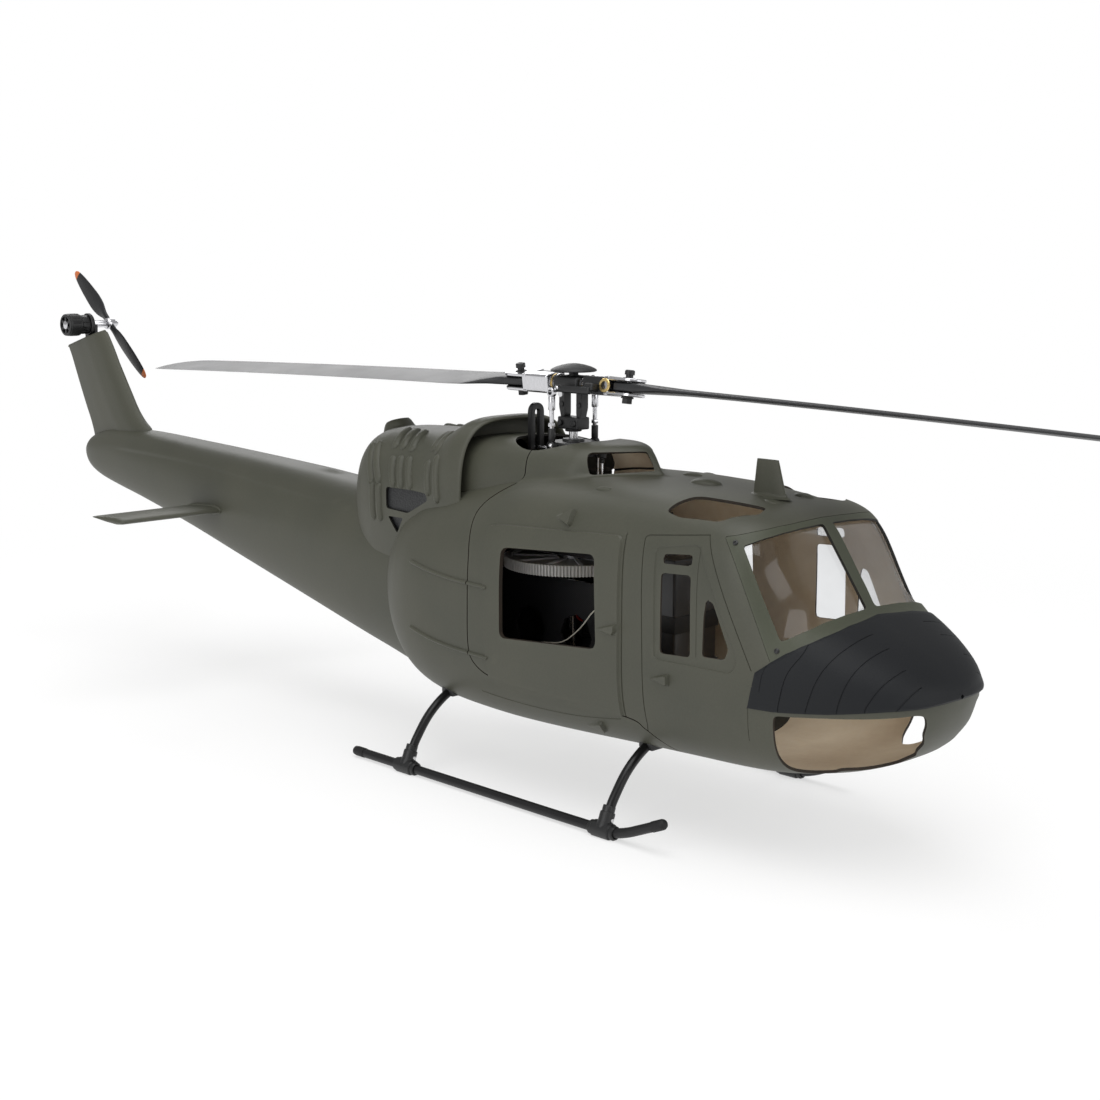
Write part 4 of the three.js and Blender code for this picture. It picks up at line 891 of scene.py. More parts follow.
PALE_WIRE = plastic("wire_pale", (0.6, 0.58, 0.5), rough=0.4)
BOARD = plastic("board_black", (0.01, 0.012, 0.012), rough=0.35)
BLADE = plastic("blade_composite", (0.016, 0.0165, 0.018), rough=0.42, grain=700,
                specular=0.42)
TAIL_BLADE = plastic("tail_blade_black", (0.008, 0.0085, 0.0095), rough=0.42)
GLASS = glass_material()
VENT_MESH = mesh_material()

# ------------------------------------------------------------------ volumes of the body
cabin = Volume(CABIN, smooth=1.6)
boom = Volume(BOOM, smooth=5.0)
hump = Volume(HUMP, smooth=1.2, keep_ends=3, base=HUMP_BASE)
cowl = Volume(COWL, smooth=1.2, keep_ends=3, base=COWL_BASE)


# ------------------------------------------------------------------ views and masks
def side_view(points):
    return points[:, [1, 2]]


def top_view(points):
    return points[:, [0, 1]]


def oblique_view(points):
    """Half-turned view of one side, the other side mirrored onto it; height stays z."""
    return np.stack([-0.716 * np.abs(points[:, 0]) - 0.698 * points[:, 1], points[:, 2]], 1)


def sides(points):
    return np.abs(points[:, 0]) > 30


def roof(points):
    return points[:, 2] > 150


# ------------------------------------------------------------------ openings and seams
# Canopy seam in the side view (y, z), from the roof down to the belly
SEAM = np.concatenate([[[3.2, 400]], curve([
    [3.2, 200], [3.0, 182], [1.6, 173], [1.4, 169.6], [3.2, 166.6], [8.0, 163.0], [13, 159.4],
    [18.4, 154.6], [21.4, 149.5], [21.9, 144.8], [21.2, 139], [19.9, 131.5], [18.9, 124.5],
    [18.5, 112], [18.5, 100], [18.7, 86], [18.6, 77], [17.4, 70.5], [12, 65.2], [3, 61.9],
    [-14, 60.4], [-50, 59.6], [-97, 58.5], [-108, 54], [-119, 44], [-124, 34], [-126, 10]], 8),
    [[-126, -60]]])
AHEAD_OF_SEAM = np.concatenate([[[-900, -60], [-900, 400]], SEAM])
# Windows in the side view: corners (y, z), corner radius, least distance from the middle
SIDE_WINDOWS = [
    # rear side window
    ([[-8, 134], [-77.5, 139], [-79.5, 91], [-8, 85.5]], 4.5, 20),
    # strip above the window ahead of it
    ([[-122.2, 144.9], [-140.2, 146.6], [-140.4, 141.2], [-122.2, 140.2]], 2.0, 20),
    ([[-121.6, 135.7], [-140.4, 136.7], [-141, 97], [-121.6, 95.9]], 2.2, 20),
    # window behind the windscreen
    ([[-149.2, 118.3], [-150.6, 126.4], [-154.6, 125.8], [-164.8, 104.7], [-162.5, 99.4],
      [-148.6, 98.7]], 1.8, 20),
    # chin window under the nose
    ([[-190.6, 77.6], [-214.9, 79.5], [-237, 80.9], [-247.2, 81.9], [-246.9, 76], [-243, 66],
      [-236, 58], [-226, 52], [-219, 50.6], [-213, 51.2], [-206, 47.6], [-198, 45.8],
      [-191, 47.8], [-190.2, 56]], 3.0, 9)]
HUMP_WINDOW = rounded([[-34.0, 183.4], [-57.4, 184.3], [-64.3, 174.6], [-38.5, 171.6]], 2.0)
# Roof window, |x| and y
ROOF_WINDOW = rounded([[28.5, -119.5], [32, -116.2], [50.5, -114.3], [52.4, -125], [50, -148],
                       [34, -158.7], [22.3, -154.2]], 3.2)
ROOF_CUTOUT = rounded([[-29, -20], [29, -20], [29, 42], [-29, 42]], 8)
# Windscreen frame, its pane and the nose cover, in the oblique view
LOWER_EDGE = [[88.5, 102.1], [95, 106.6], [102.2, 110.2], [113, 113.8], [126, 116.9],
              [143.8, 118.8]]
SURROUND = np.array([[69.4, 156.4], [82, 158.8], [95, 160.4], [108, 161.2], [121.5, 161.6],
                     [190, 161.6], [190, 118.8]] + LOWER_EDGE[::-1])
PANE = rounded([[77.2, 153.2], [87, 156.0], [97, 157.8], [108, 158.9], [118.9, 159.2],
                [137.6, 121.5], [126, 120.9], [113.8, 119.2], [103, 115.9], [93.2, 111.6],
                [84.9, 132.2]], 1.6)
NOSE = np.array([[79.1, 60], [79.1, 79], [80.6, 88.6], [82, 96.5]] + LOWER_EDGE
                + [[300, 118.8], [300, 60]])
# Lower lip of the nose cover: distance ahead of the mast, z
NOSE_LIP = np.array([[170, 78.9], [176.8, 79.0], [190.7, 79.4], [214.8, 81.4], [237.2, 84.1],
                     [247.2, 84.9], [252, 86.4]])

# Each field below is negative inside its opening; away from it a positive number stands in.


def seam_field(points):
    """Positive towards the nose."""
    return -outline_distance(side_view(points), AHEAD_OF_SEAM)


def ahead_of_seam(points):
    return seam_field(points) - SEAM_GAP


def behind_seam(points):
    return seam_field(points) + SEAM_GAP


def side_opening(outline, least_x):
    def field(points):
        distance = outline_distance(side_view(points), outline)
        return np.where(np.abs(points[:, 0]) > least_x, distance, np.maximum(distance, 2.0))
    return field


def roof_window(points):
    flat = np.stack([np.abs(points[:, 0]), points[:, 1]], 1)
    return np.where(roof(points), outline_distance(flat, ROOF_WINDOW), 50.0)


def roof_cutout(points):
    return np.where(roof(points), outline_distance(top_view(points), ROOF_CUTOUT), 50.0)


def front_outline(outline, growth=0.0):
    """Outline in the oblique view, only on the forward part of the hull."""
    def field(points):
        distance = outline_distance(oblique_view(points), outline) - growth
        return np.where(points[:, 1] < -148, distance, 60.0)
    return field


def pane(points):
    """The panes, parted by a bar in the middle."""
    distance = np.maximum(outline_distance(oblique_view(points), PANE),
                          1.45 - np.abs(points[:, 0]))
    return np.where(points[:, 1] < -148, distance, 60.0)


def mast_hole(points):
    distance = np.hypot(points[:, 0], points[:, 1] - 4) - 29
    return np.where(points[:, 2] > 175, distance, 50.0)


def nose_cover(points):
    """Bounded below by the lip, above and behind by the frame and the door."""
    below = np.interp(-points[:, 1], *NOSE_LIP.T) - points[:, 2]
    return np.maximum(below, outline_distance(oblique_view(points), NOSE))


# ------------------------------------------------------------------ surface features
# A feature is a height field and the level lines to split first: (field, level, near).
def line_feature(line, profile, levels, mask, view=side_view, centre=True):
    """Feature whose height depends on the distance from a line; levels are (distance, near)."""
    line = np.asarray(line, float)

    def distance(points):
        return line_distance(view(points), line)[0]

    def signed(points):
        return line_distance(view(points), line)[1]

    def height(points):
        return np.where(mask(points), profile(distance(points)), 0)
    splits = [(signed, 0.0, 3.0)] if centre else []
    return height, splits + [(distance, level, near) for level, near in levels]


def groove(line, width, depth, mask=sides):
    def profile(distance):
        return -depth * np.clip((width / 2 - distance) / (width * 0.25), 0, 1)
    return line_feature(line, profile, [(width / 2, 2.0), (width / 4, 2.0)], mask)


def rib(line, width, height):
    def profile(distance):
        return height * np.sqrt(np.clip(1 - (distance / (width / 2)) ** 2, 0, 1))
    levels = [(width * share, 2.0) for share in (0.5, 0.42, 0.25)]
    return line_feature(line, profile, levels, sides)


def plateau(outline, height, slope_width):
    """Raised or sunk area with a sloping border."""
    def distance(points):
        return outline_distance(side_view(points), outline)

    def field(points):
        share = np.clip((slope_width / 2 - distance(points)) / slope_width, 0, 1)
        return np.where(sides(points), height * share, 0)
    return field, [(distance, slope_width / 2, 3.0), (distance, -slope_width / 2, 3.0)]


def blister(x, y, half_x, half_y, height, turn):
    """Rounded oval swelling on the roof."""
    cos, sin = math.cos(turn), math.sin(turn)
    least = min(half_x, half_y)

    def radius(points):
        across, along = (top_view(points) - np.array([x, y])).T
        return np.hypot((across * cos + along * sin) / half_x,
                        (-across * sin + along * cos) / half_y) * least

    def field(points):
        swell = np.clip(1 - (radius(points) / least) ** 2, 0, 1) ** 0.6
        return np.where(roof(points), height * swell, 0)
    inner = [(radius, least * share, 2.0) for share in (0.93, 0.75, 0.45, 0.15)]
    return field, [(radius, least, 3.0)] + inner


def wedge(thin_y, thick_y, z, half_z, height, climb):
    """Handle on the sides: a ramp that rises towards its blunt end."""
    length = abs(thick_y - thin_y)

    def along(points):
        return (points[:, 1] - thin_y) / (thick_y - thin_y)

    def off_axis(points):
        return points[:, 2] - (z + climb * along(points))

    def half_width(t):
        return half_z * (0.12 + 0.88 * np.clip(t, 0, 1))

    def outline(inset):
        def field(points):
            t = along(points)
            ends = np.maximum(0.6 * inset - t * length, (t - 1) * length + 0.8 * inset)
            return np.maximum(ends, np.abs(off_axis(points)) - half_width(t) + 0.9 * inset)
        return field

    def raised(points):
        t = along(points)
        border = np.clip((half_width(t) - np.abs(off_axis(points))) / 0.9, 0, 1)
        ends = np.clip((1 - t) * length / 0.8, 0, 1) * np.clip(t * length / 0.5, 0, 1)
        value = height * np.clip(t, 0, 1) ** 0.8 * smoothstep(border) * ends
        return np.where((t >= 0) & (t <= 1) & sides(points), value, 0)
    return raised, [(outline(0.0), 0.0, 3.0), (outline(0.5), 0.0, 2.0),
                    (outline(1.0), 0.0, 2.0), (off_axis, 0.0, 2.0)]


def feature_heights(sheet, features):
    """Splits the sheet along the features and returns their summed height."""
    for _, levels in features:
        for field, level, near in levels:
            sheet.split(field, level, near)
    total = np.zeros(len(sheet.points))
    for height, _ in features:
        total += height(sheet.points)
    return total


RAISED_PANEL = rounded([[6.4, 143.8], [-9, 145.6], [-94.2, 150.2], [-94.6, 40], [3.2, 40]], 4.2)
SUNK_PANEL = rounded([[-117.2, 147.6], [-143.5, 151.5], [-170.3, 100.8], [-167, 93.6],
                      [-118, 92.8]], 3.0)
FRONT_DOOR_LINE = np.concatenate([[[-147.3, 156.4], [-110.5, 152.4]], curve(
    [[-109.0, 151], [-109.6, 120], [-110.8, 66], [-109.8, 55], [-106.5, 50.0]], 8)])
BELLY_LINE = curve([[14, 51.2], [2.5, 50.6], [-18, 50.1], [-38, 50.4], [-58, 51.6],
                    [-78, 54.2], [-92, 56.6]], 6)
# x, y, half axes, height, turn
BLISTERS = [(-41.2, -63.0, 2.0, 5.4, 1.3, 0), (41.2, -63.0, 2.0, 5.4, 1.3, 0),
            (1.2, -95.4, 4.6, 8.6, 2.6, 0.35), (15.2, -73.6, 3.0, 5.6, 1.6, 0.35),
            (17.4, -145.6, 3.0, 5.2, 1.7, 0.35), (-8.4, -146.4, 3.2, 5.4, 0.9, -0.35)]
rib_features = [
    rib(curve(line, 6), width=2.1, height=1.25) for line in (
        [[69.4, 116.2], [52, 113.6], [33.4, 111.9], [17, 111.4], [3.2, 111.0]],
        [[69.8, 78.8], [52, 75.4], [34.5, 73.6], [18, 72.9], [3.2, 72.5]])]
canopy_features = [
    plateau(RAISED_PANEL, height=1.0, slope_width=0.7),
    groove([[-96.4, 151.6], [-96.6, 58.8]], width=0.9, depth=0.5),
    groove(FRONT_DOOR_LINE, width=0.55, depth=0.4),
    groove([[-147.3, 156.4], [-178.4, 96.9]], width=0.55, depth=0.4),
    groove([[-176.9, 79], [-176.6, 62.5]], width=0.4, depth=0.25),
    groove([[-144.8, 97.8], [-144.4, 150.6]], width=0.35, depth=0.2),
    plateau(SUNK_PANEL, height=-0.5, slope_width=0.5),
    wedge(-79.0, -94.0, z=101.6, half_z=3.4, height=2.4, climb=1.6),
    wedge(-113.9, -128.4, z=82.4, half_z=3.4, height=2.4, climb=1.2),
    wedge(-171.5, -184.2, z=89.5, half_z=1.3, height=0.8, climb=0.2),
    wedge(-43.5, -57.0, z=154.0, half_z=4.6, height=2.6, climb=0.4),
] + [blister(*row) for row in BLISTERS] + rib_features
rear_features = rib_features + [
    groove(BELLY_LINE, width=0.9, depth=0.3),
    wedge(-62.1, -77.1, z=46.4, half_z=3.4, height=2.2, climb=2.4)]

# ------------------------------------------------------------------ canopy
cabin_skin = skin(cabin, -251.0, 116.0, step=2.0, count=216)
front = cabin_skin.copy().keep(lambda centres: centres[:, 1] < 30)
front.cut(ahead_of_seam)
for corners, radius, least_x in SIDE_WINDOWS:
    front.cut(side_opening(rounded(corners, radius), least_x))
front.cut(roof_window)
front.cut(front_outline(SURROUND, 0.15))
front.cut(hump)
heights = feature_heights(front, canopy_features)
cabin_wall = shell(front, heights, -WALL, fillet(front, hump, 3.0))

front_hump = skin(hump, -70.0, 48.0, step=1.6, count=96, floor=142)
front_hump.keep(lambda centres: centres[:, 1] < 20)
for field in (ahead_of_seam, cabin, mast_hole, side_opening(HUMP_WINDOW, 2.4)):
    front_hump.cut(field)
hump_wall = shell(front_hump, 0.0, -WALL, fillet(front_hump, cabin, 3.0))
write_shell("canopy_shell_moulding", [cabin_wall, hump_wall], [OLIVE, INSIDE, CUT_EDGE],
            "canopy", "canopy_shell")

# ------------------------------------------------------------------ windscreen
screen_skin = skin(cabin, -222.0, -144.0, step=1.3, count=300)
screen_frame = screen_skin.copy().cut(front_outline(SURROUND), -1).cut(pane)
write_shell("windscreen_surround", [shell(screen_frame, 0.0, -1.5)],
            [FRAME_OLIVE, INSIDE, DARK_EDGE], "windshield_frame", "canopy_shell")
clear_sheet = screen_skin.cut(front_outline(SURROUND, -1.6), -1)
write_shell("clear_windscreen", [shell(clear_sheet, -1.62, -2.3)], [GLASS],
            "windshield", "canopy_shell")

# ------------------------------------------------------------------ nose cover
# Grooves in the side view: points (y, z), least |x|, greatest z, width, depth
NOSE_GROOVES = [
    ([[-200.7, 116], [-201.6, 107.3], [-196.9, 97.3], [-194.0, 84.4], [-193.4, 79]],
     40, 119, 0.5, 0.32),
    ([[-216.3, 116], [-215.6, 111], [-214.1, 106.8], [-210.6, 97.6], [-207.0, 85.0],
      [-206, 80]], 20.5, 115.6, 0.5, 0.32),
    ([[-226.2, 111], [-225.5, 108.0], [-223.9, 103.1], [-222.2, 96.4], [-219.8, 85.8],
      [-219, 81]], 20.5, 110.6, 0.5, 0.32),
    ([[-237.0, 101.5], [-236.6, 100.1], [-234.3, 95.5], [-231.9, 89.9], [-230.0, 85.4],
      [-229.4, 82]], 23.5, 102.8, 0.5, 0.32),
    ([[-244.8, 94.6], [-244.2, 93.3], [-242.4, 89.2], [-240.1, 85.1], [-239.4, 83]],
     22, 96.2, 0.5, 0.32),
    ([[-187.6, 104.5], [-186.4, 100.2], [-184.8, 95.6], [-183.6, 88]], 50, 107, 0.35, 0.2)]


def nose_mask(least_x, greatest_z):
    return lambda points: (np.abs(points[:, 0]) > least_x) & (points[:, 2] < greatest_z)


nose = skin(cabin, -251.0, -170.0, step=1.7, count=260)
nose.cut(nose_cover, -1)
nose.keep(lambda centres: centres[:, 2] > 76)
heights = feature_heights(nose, [
    groove(curve(line, 6), width, depth, nose_mask(least_x, greatest_z))
    for line, least_x, greatest_z, width, depth in NOSE_GROOVES])
edge_rise = smoothstep(-nose_cover(nose.points) / 1.1)
lip = (1.1 * np.exp(-((nose.points[:, 2] - 86.3) / 2.2) ** 2)
       * smoothstep((-nose.points[:, 1] - 226) / 22))
write_shell("nose_cover_moulding",
            [shell(nose, 0.35 + 0.75 * edge_rise + heights + lip * 0.8, 0.3)],
            [NOSE_BLACK] * 3, "nose_cover", "canopy_shell", angle=30)

# ------------------------------------------------------------------ antenna on the roof
part = Part()
turns = np.arange(14) / 14 * 2 * math.pi
sin, cos = np.sin(turns), np.cos(turns)
rings = []
for t in np.linspace(0, 1, 9):
    rear_y, front_y = -127.6 - 1.9 * t, -148.2 + 5.2 * t
    half = (1.7 - 0.55 * t) * (0.8 if t > 0.93 else 1)
    rings.append(xyz(half * np.sign(sin) * np.abs(sin) ** 0.7,
                     (rear_y + front_y) / 2
                     + (rear_y - front_y) / 2 * np.sign(cos) * np.abs(cos) ** 0.55,
                     168.8 + t * 18.0))
part.loft(rings)
# flared foot
turns = np.arange(26) / 26 * 2 * math.pi
rings = []
for t in np.linspace(0, 1, 7):
    flare = 3.2 * (1 - t) ** 2.2
    y = -138 + (10.2 + flare) * np.sin(turns)
    rings.append(xyz((1.6 + flare) * np.cos(turns), y, 168.4 + 2.6 * t + 0.021 * (y + 128)))
part.loft(rings)
part.finish("roof_blade_antenna", [OLIVE], "roof_antenna", "canopy_shell", "shell_olive")

# ------------------------------------------------------------------ rear fuselage and boom
back = cabin_skin.keep(lambda centres: centres[:, 1] > -135)
back.cut(behind_seam, -1)
back.cut(boom)
back.cut(roof_cutout)
heights = feature_heights(back, rear_features)
back_wall = shell(back, heights, -WALL, fillet(back, boom, 9.0))

# Crease along the boom in the side view (y, z)
CREASE = curve([[120, 129], [188.2, 133.4], [265.8, 138.2], [333.7, 143], [392.1, 144.7],
                [451.9, 145.2], [500, 146]], 8)
CREASE_HALF = 1.4


def above_crease(points):
    return points[:, 2] - np.interp(points[:, 1], CREASE[:, 0], CREASE[:, 1])


def boom_height(points):
    """Step above the crease and a small swelling on top of the boom."""
    x, y = points[:, 0], points[:, 1]
    step = (smoothstep((above_crease(points) + CREASE_HALF) / (2 * CREASE_HALF))
            * smoothstep((y - 150) / 60) * smoothstep((470 - y) / 40)
            * smoothstep((np.abs(x) - 3) / 9))
    swelling = smoothstep(1 - np.hypot((y - 217.5) / 15.5, x / 6.0)) * (points[:, 2] > 130)
    return 0.8 * step + 1.6 * swelling


boom_skin = skin(boom, 70, 517, step=2.6, count=128)
boom_skin.cut(cabin)
for level in (-CREASE_HALF, CREASE_HALF, 0.0):
    boom_skin.split(above_crease, level)
shift = (fillet(boom_skin, cabin, 9.0)
         + boom_skin.normals * boom_height(boom_skin.points)[:, None])
boom_wall = shell(boom_skin, 0.0, -1.2, shift)


def chordwise(count):
    """Places from 0 to 1 along a chord, closer together at its ends."""
    return (1 - np.cos(np.linspace(0, math.pi, count))) / 2


def closed_ring(upper, lower):
    return np.concatenate([upper, lower[-2:0:-1]])


def slab_ring(x, y, z, half):
    """Section of a wing of given half thickness, lying flat."""
    return closed_ring(xyz(x, y, z + half), xyz(x, y, z - half))


# Fin: z, front y, rear y, half thickness
FIN = np.array([[134, 445, 507, 5.5], [150, 436, 509.5, 6.6], [158, 431, 512.5, 6.8],
                [163, 438, 515, 6.6], [170, 446, 519, 6.3], [185, 457.5, 527, 5.9],
                [205, 472, 537, 5.4]])
# Share of the chord, share of the half thickness: blunt in front and thin behind
FIN_PROFILE = np.array([[0, 0], [.02, .34], [.06, .62], [.12, .85], [.2, .98], [.4, 1],
                        [.7, .66], [.92, .3], [.985, .18], [1, .05]])
FIN_BREAK, FIN_TOP = 205, 228.6     # z where the straight tip starts and where it ends


def fin_part():
    chord = chordwise(26)
    profile = np.interp(chord, *FIN_PROFILE.T)
    rings = []
    for z in np.concatenate([np.linspace(134, FIN_BREAK, 40)[:-1],
                             np.linspace(FIN_BREAK, FIN_TOP, 16)]):
        if z <= FIN_BREAK:
            start, end, half = table_row(FIN, z)
            y = start + chord * (end - start)
            height = z
        else:
            t = (z - FIN_BREAK) / (FIN_TOP - FIN_BREAK)
            start, end, half = 472 + (488.6 - 472) * t, 537 + (543.5 - 537) * t, 5.4 - 0.5 * t
            y = start + chord * (end - start)
            height = FIN_BREAK + (FIN_TOP - (y - 489) * 0.24 - FIN_BREAK) * t
        half = half * profile
        rings.append(closed_ring(xyz(half, y, height), xyz(-half, y, height)))
    # the tip is rounded off below its full height
    rim = rings.pop()
    middle = (rim[:, 1].min() + rim[:, 1].max()) / 2
    for drop, pinch in ((1.75, 1), (0.85, 0.88), (0.25, 0.62), (0, 0.3)):
        rings.append(xyz(rim[:, 0] * pinch,
                         middle + (rim[:, 1] - middle) * (1 - 0.035 * (1 - pinch)),
                         rim[:, 2] - drop))
    part = Part()
    part.loft(rings)
    tris = np.array([tri for face in part.faces for tri in fan(face)])
    return part.points[0], tris, np.zeros(len(tris))


write_shell("rear_shell_moulding", [back_wall, boom_wall, fin_part()],
            [OLIVE, SHADED_INSIDE, CUT_EDGE], "rear_fuselage")

# ------------------------------------------------------------------ engine cowl
# Rolled lip at the front of the cowl: y, inset from the section
LIP = [(62, 14), (62, 8), (61.6, 4.4), (60.6, 3.1), (58, 2.8), (54, 2.7), (50, 2.6),
       (47, 2.45), (45.7, 2.15), (45.05, 1.7), (44.8, 1.3), (44.95, .85), (45.4, .45),
       (46.2, .15), (47.5, 0)]
# Rounded bars on the cowl: x, y, z of both ends
BARS = [
    ([-29.7, 140.1, 174.6], [-39.7, 128, 155.3]), ([-30.2, 132.8, 175.3], [-40.1, 121, 156]),
    ([-38.5, 127.2, 151.6], [-40.6, 126.2, 134]), ([-38.7, 120.2, 151.2], [-40.8, 119.2, 134]),
    ([-37, 111.1, 168.2], [-40.9, 106.6, 154.9]), ([-36.9, 103.9, 168.9], [-41, 99.2, 155.2]),
    ([-37.1, 96, 169.2], [-41.2, 91.2, 155.3]), ([-39.5, 76.8, 168.2], [-42.9, 73, 154]),
    ([-40.9, 67.3, 172], [-44.5, 63.5, 151.1]), ([-31.1, 115.2, 176], [-16, 122.7, 183.3]),
    ([-31.5, 107.1, 176], [-17, 113.4, 183.4]), ([-32.3, 98.2, 175.6], [-18.9, 104.1, 183.1]),
    ([-32.9, 78.3, 177.7], [-18.7, 82.9, 183.9]), ([-36, 71, 177], [-22, 76, 184])]
# Side vents (y, z)
VENTS = [rounded([[73.2, 148.6], [75.6, 152.4], [88, 152.9], [112.7, 152.6], [112.1, 140.2],
                  [92.4, 139.3]], 1.8),
         rounded([[97.0, 135.9], [110.9, 135.7], [104.4, 126.0]], 1.3)]
VENT_MESH_OUTLINE = rounded([[68, 156], [116, 156.5], [116, 137], [106, 123], [99, 124],
                             [92, 134], [76, 141], [69, 147]], 3)
MOUND_Y, MOUND_RADIUS, MOUND_HEIGHT = 149.5, 10.5, 5.4   # round mound on top, at the rear


def cowl_ring(y, section_y, inset=0.0):
    top, width, power = cowl.at(section_y)
    x, z = arch_ring((top - inset, width - inset, power), COWL_BASE, 112, 108)
    return xyz(x, y, z)


def unroll(points):
    """The cowl laid flat: y and the length around a circle of radius 42."""
    height = points[:, 2] - COWL_BASE
    return np.stack([points[:, 1], 42 * np.arctan2(height, np.abs(points[:, 0]))], 1)


def bar(ends, width=5.4, height=1.8):
    def profile(distance):
        return height * (1 - np.clip(distance / (width / 2), 0, 1) ** 2) ** 0.75
    levels = [(width * share, near) for share, near in
              ((0.5, 2.0), (0.46, 1.5), (0.38, 1.5), (0.2, 1.5))]
    return line_feature(unroll(np.array(ends, float)), profile, levels,
                        lambda points: points[:, 1] > 49, view=unroll, centre=False)


def vent_field(outline):
    def field(points):
        near = (np.abs(points[:, 0]) > 20) & (points[:, 1] > 66)
        return np.where(near, outline_distance(side_view(points), outline), 30.0)
    return field


def from_mound(points):
    return np.hypot(points[:, 0], points[:, 1] - MOUND_Y)


def mound_circle(radius):
    return lambda points: np.where(points[:, 2] > 165, from_mound(points) - radius, 30.0)


rings = [cowl_ring(y, 47.0 if inset else y, inset) for y, inset in LIP]
rings += [cowl_ring(y, y) for y in cowl.stations(48.6, 171, 1.5)]
cowl_skin = sheet_from_rings(rings, cowl).cut(cabin).cut(boom)
for outline in VENTS:
    cowl_skin.cut(vent_field(outline))
bars = [bar(ends) for ends in BARS]
feature_heights(cowl_skin, bars)
for radius in (MOUND_RADIUS, 9.4, 8.2, 6.4):
    cowl_skin.split(mound_circle(radius))
mound = MOUND_HEIGHT * smoothstep((1 - from_mound(cowl_skin.points) / MOUND_RADIUS) / 0.42)
heights = sum(height(cowl_skin.points) for height, _ in bars)
heights = heights + np.where(cowl_skin.points[:, 2] > 165, mound, 0)
rear_hump = skin(hump, -9, 61.6, step=1.8, count=96, floor=142)
rear_hump.cut(behind_seam, -1).cut(cabin).cut(mast_hole)
write_shell("engine_cowl_moulding",
            [shell(cowl_skin, heights + 0.05, -0.95), shell(rear_hump, 0.0, -1.3)],
            [OLIVE, SHADED_INSIDE, DARK_EDGE], "engine_cowl")

# wire mesh behind the side vents
mesh_skin = skin(cowl, 60, 130, step=2.0, count=96, floor=114)
for side, word in ((-1, "right"), (1, "left")):
    patch = mesh_skin.copy().keep(lambda centres: (centres[:, 0] * side > 20) & (
        outline_distance(side_view(centres), VENT_MESH_OUTLINE) < 0))
    write_shell("vent_mesh_" + word, [shell(patch, -1.5, -2.2)], [VENT_MESH],
                "grille_" + word)


# ------------------------------------------------------------------ tailplanes
def part_box(name):
    """Lower and upper corner of a part of the frame, in millimetres about the mast."""
    return [np.array(corner) * 1000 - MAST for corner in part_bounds(name)]


low, high = part_box("stabilizer_left")
tip_x = max(abs(low[0]), abs(high[0]))
plane_y, plane_chord = low[1], high[1] - low[1]
round_x = tip_x - 3           # where the tip starts to round off
chord = chordwise(22)
plane_profile = np.interp(chord, [0, .03, .08, .25, .6, .95, 1],
                          [0.05, .5, .72, 1, .8, .28, .1])
root_profile = np.interp(chord, [0, .03, .08, .25, .6, .95, 1], [0.1, .5, .72, 1, .8, .4, .1])
for side, word in ((-1, "right"), (1, "left")):
    part = Part()
    rings = []
    for x in np.concatenate([np.linspace(18, round_x, 16),
                             round_x + 3 * np.sin(np.linspace(0.2, math.pi / 2, 6))]):
        t = np.clip((x - round_x) / 3, 0, 1)
        full = math.sqrt(max(1 - t * t, 0.0)) * 0.94 + 0.06
        y = plane_y + 1.6 * (1 - full) + chord * (plane_chord - 3.0 * (1 - full))
        rings.append(slab_ring(side * x, y, TAILPLANE_Z, 2.4 * plane_profile * full))
    part.loft(rings)
    # root fairing
    y = plane_y - 1.2 + chord * (plane_chord + 2.4)
    part.loft([slab_ring(side * x, y, TAILPLANE_Z, 1.9 * root_profile * swell)
               for x, swell in ((17, 1.9), (24.5, 1.75), (25.6, 1.5), (26.0, 1.15))])
    part.finish("tailplane_" + word, [OLIVE], "stabilizer_" + word, slot="shell_olive")


# ------------------------------------------------------------------ landing gear
def bent_path(points, steps=8):
    """Polyline with rounded bends."""
    knots = np.array(points, float)
    made = [knots[0]]
    for before, knot, after in zip(knots, knots[1:], knots[2:]):
        reach = min(9.0, np.linalg.norm(before - knot) * 0.45,
                    np.linalg.norm(after - knot) * 0.45)
        start, end = knot + unit(before - knot) * reach, knot + unit(after - knot) * reach
        for t in np.linspace(0, 1, steps):
            made.append((1 - t) ** 2 * start + 2 * t * (1 - t) * knot + t * t * end)
    return np.array(made + [knots[-1]])


SKID_PATH = [[101.4, 3.4], [40, 3.4], [-60, 3.4], [-105, 3.6], [-114, 6.2], [-137.3, 16.1]]
SKID_CAP = [(0, -1.5), (2.75, -1.5), (2.8, -1.2), (2.8, 5.2), (2.65, 6.1), (2.2, 6.9),
            (1.3, 7.4), (0, 7.6)]
# Left half of a cross tube (x, z)
CROSS_TUBE = [[0, 46], [22, 45.8], [42, 41.2], [57, 31.4], [67.5, 18.4], [72.6, 8.9]]
TEE_STEM = solid((4.4, 1.0), (4.3, 3.2), (3.95, 4.4), (3.9, 8.6), (3.7, 9.2), (3.3, 9.3),
                 (3.28, 12.0), (3.05, 12.5))
for side, word in ((-1, "right"), (1, "left")):
    part = Part()
    path = bent_path([[side * SKID_X, y, z] for y, z in SKID_PATH])
    part.tube(path, 2.55, 28)
    ahead = unit(path[-1] - path[-2])
    part.lathe(SKID_CAP, path[-1] - ahead * 6.2, ahead, 28, mat=1)
    part.lathe(SKID_CAP, path[0] + np.array([0, -7.0, 0]), (0, 1, 0), 28, mat=1)
    part.finish("skid_tube_" + word, [SKID_BLACK, RUBBER], "skid_" + word,
                slot="satin_black_tube")
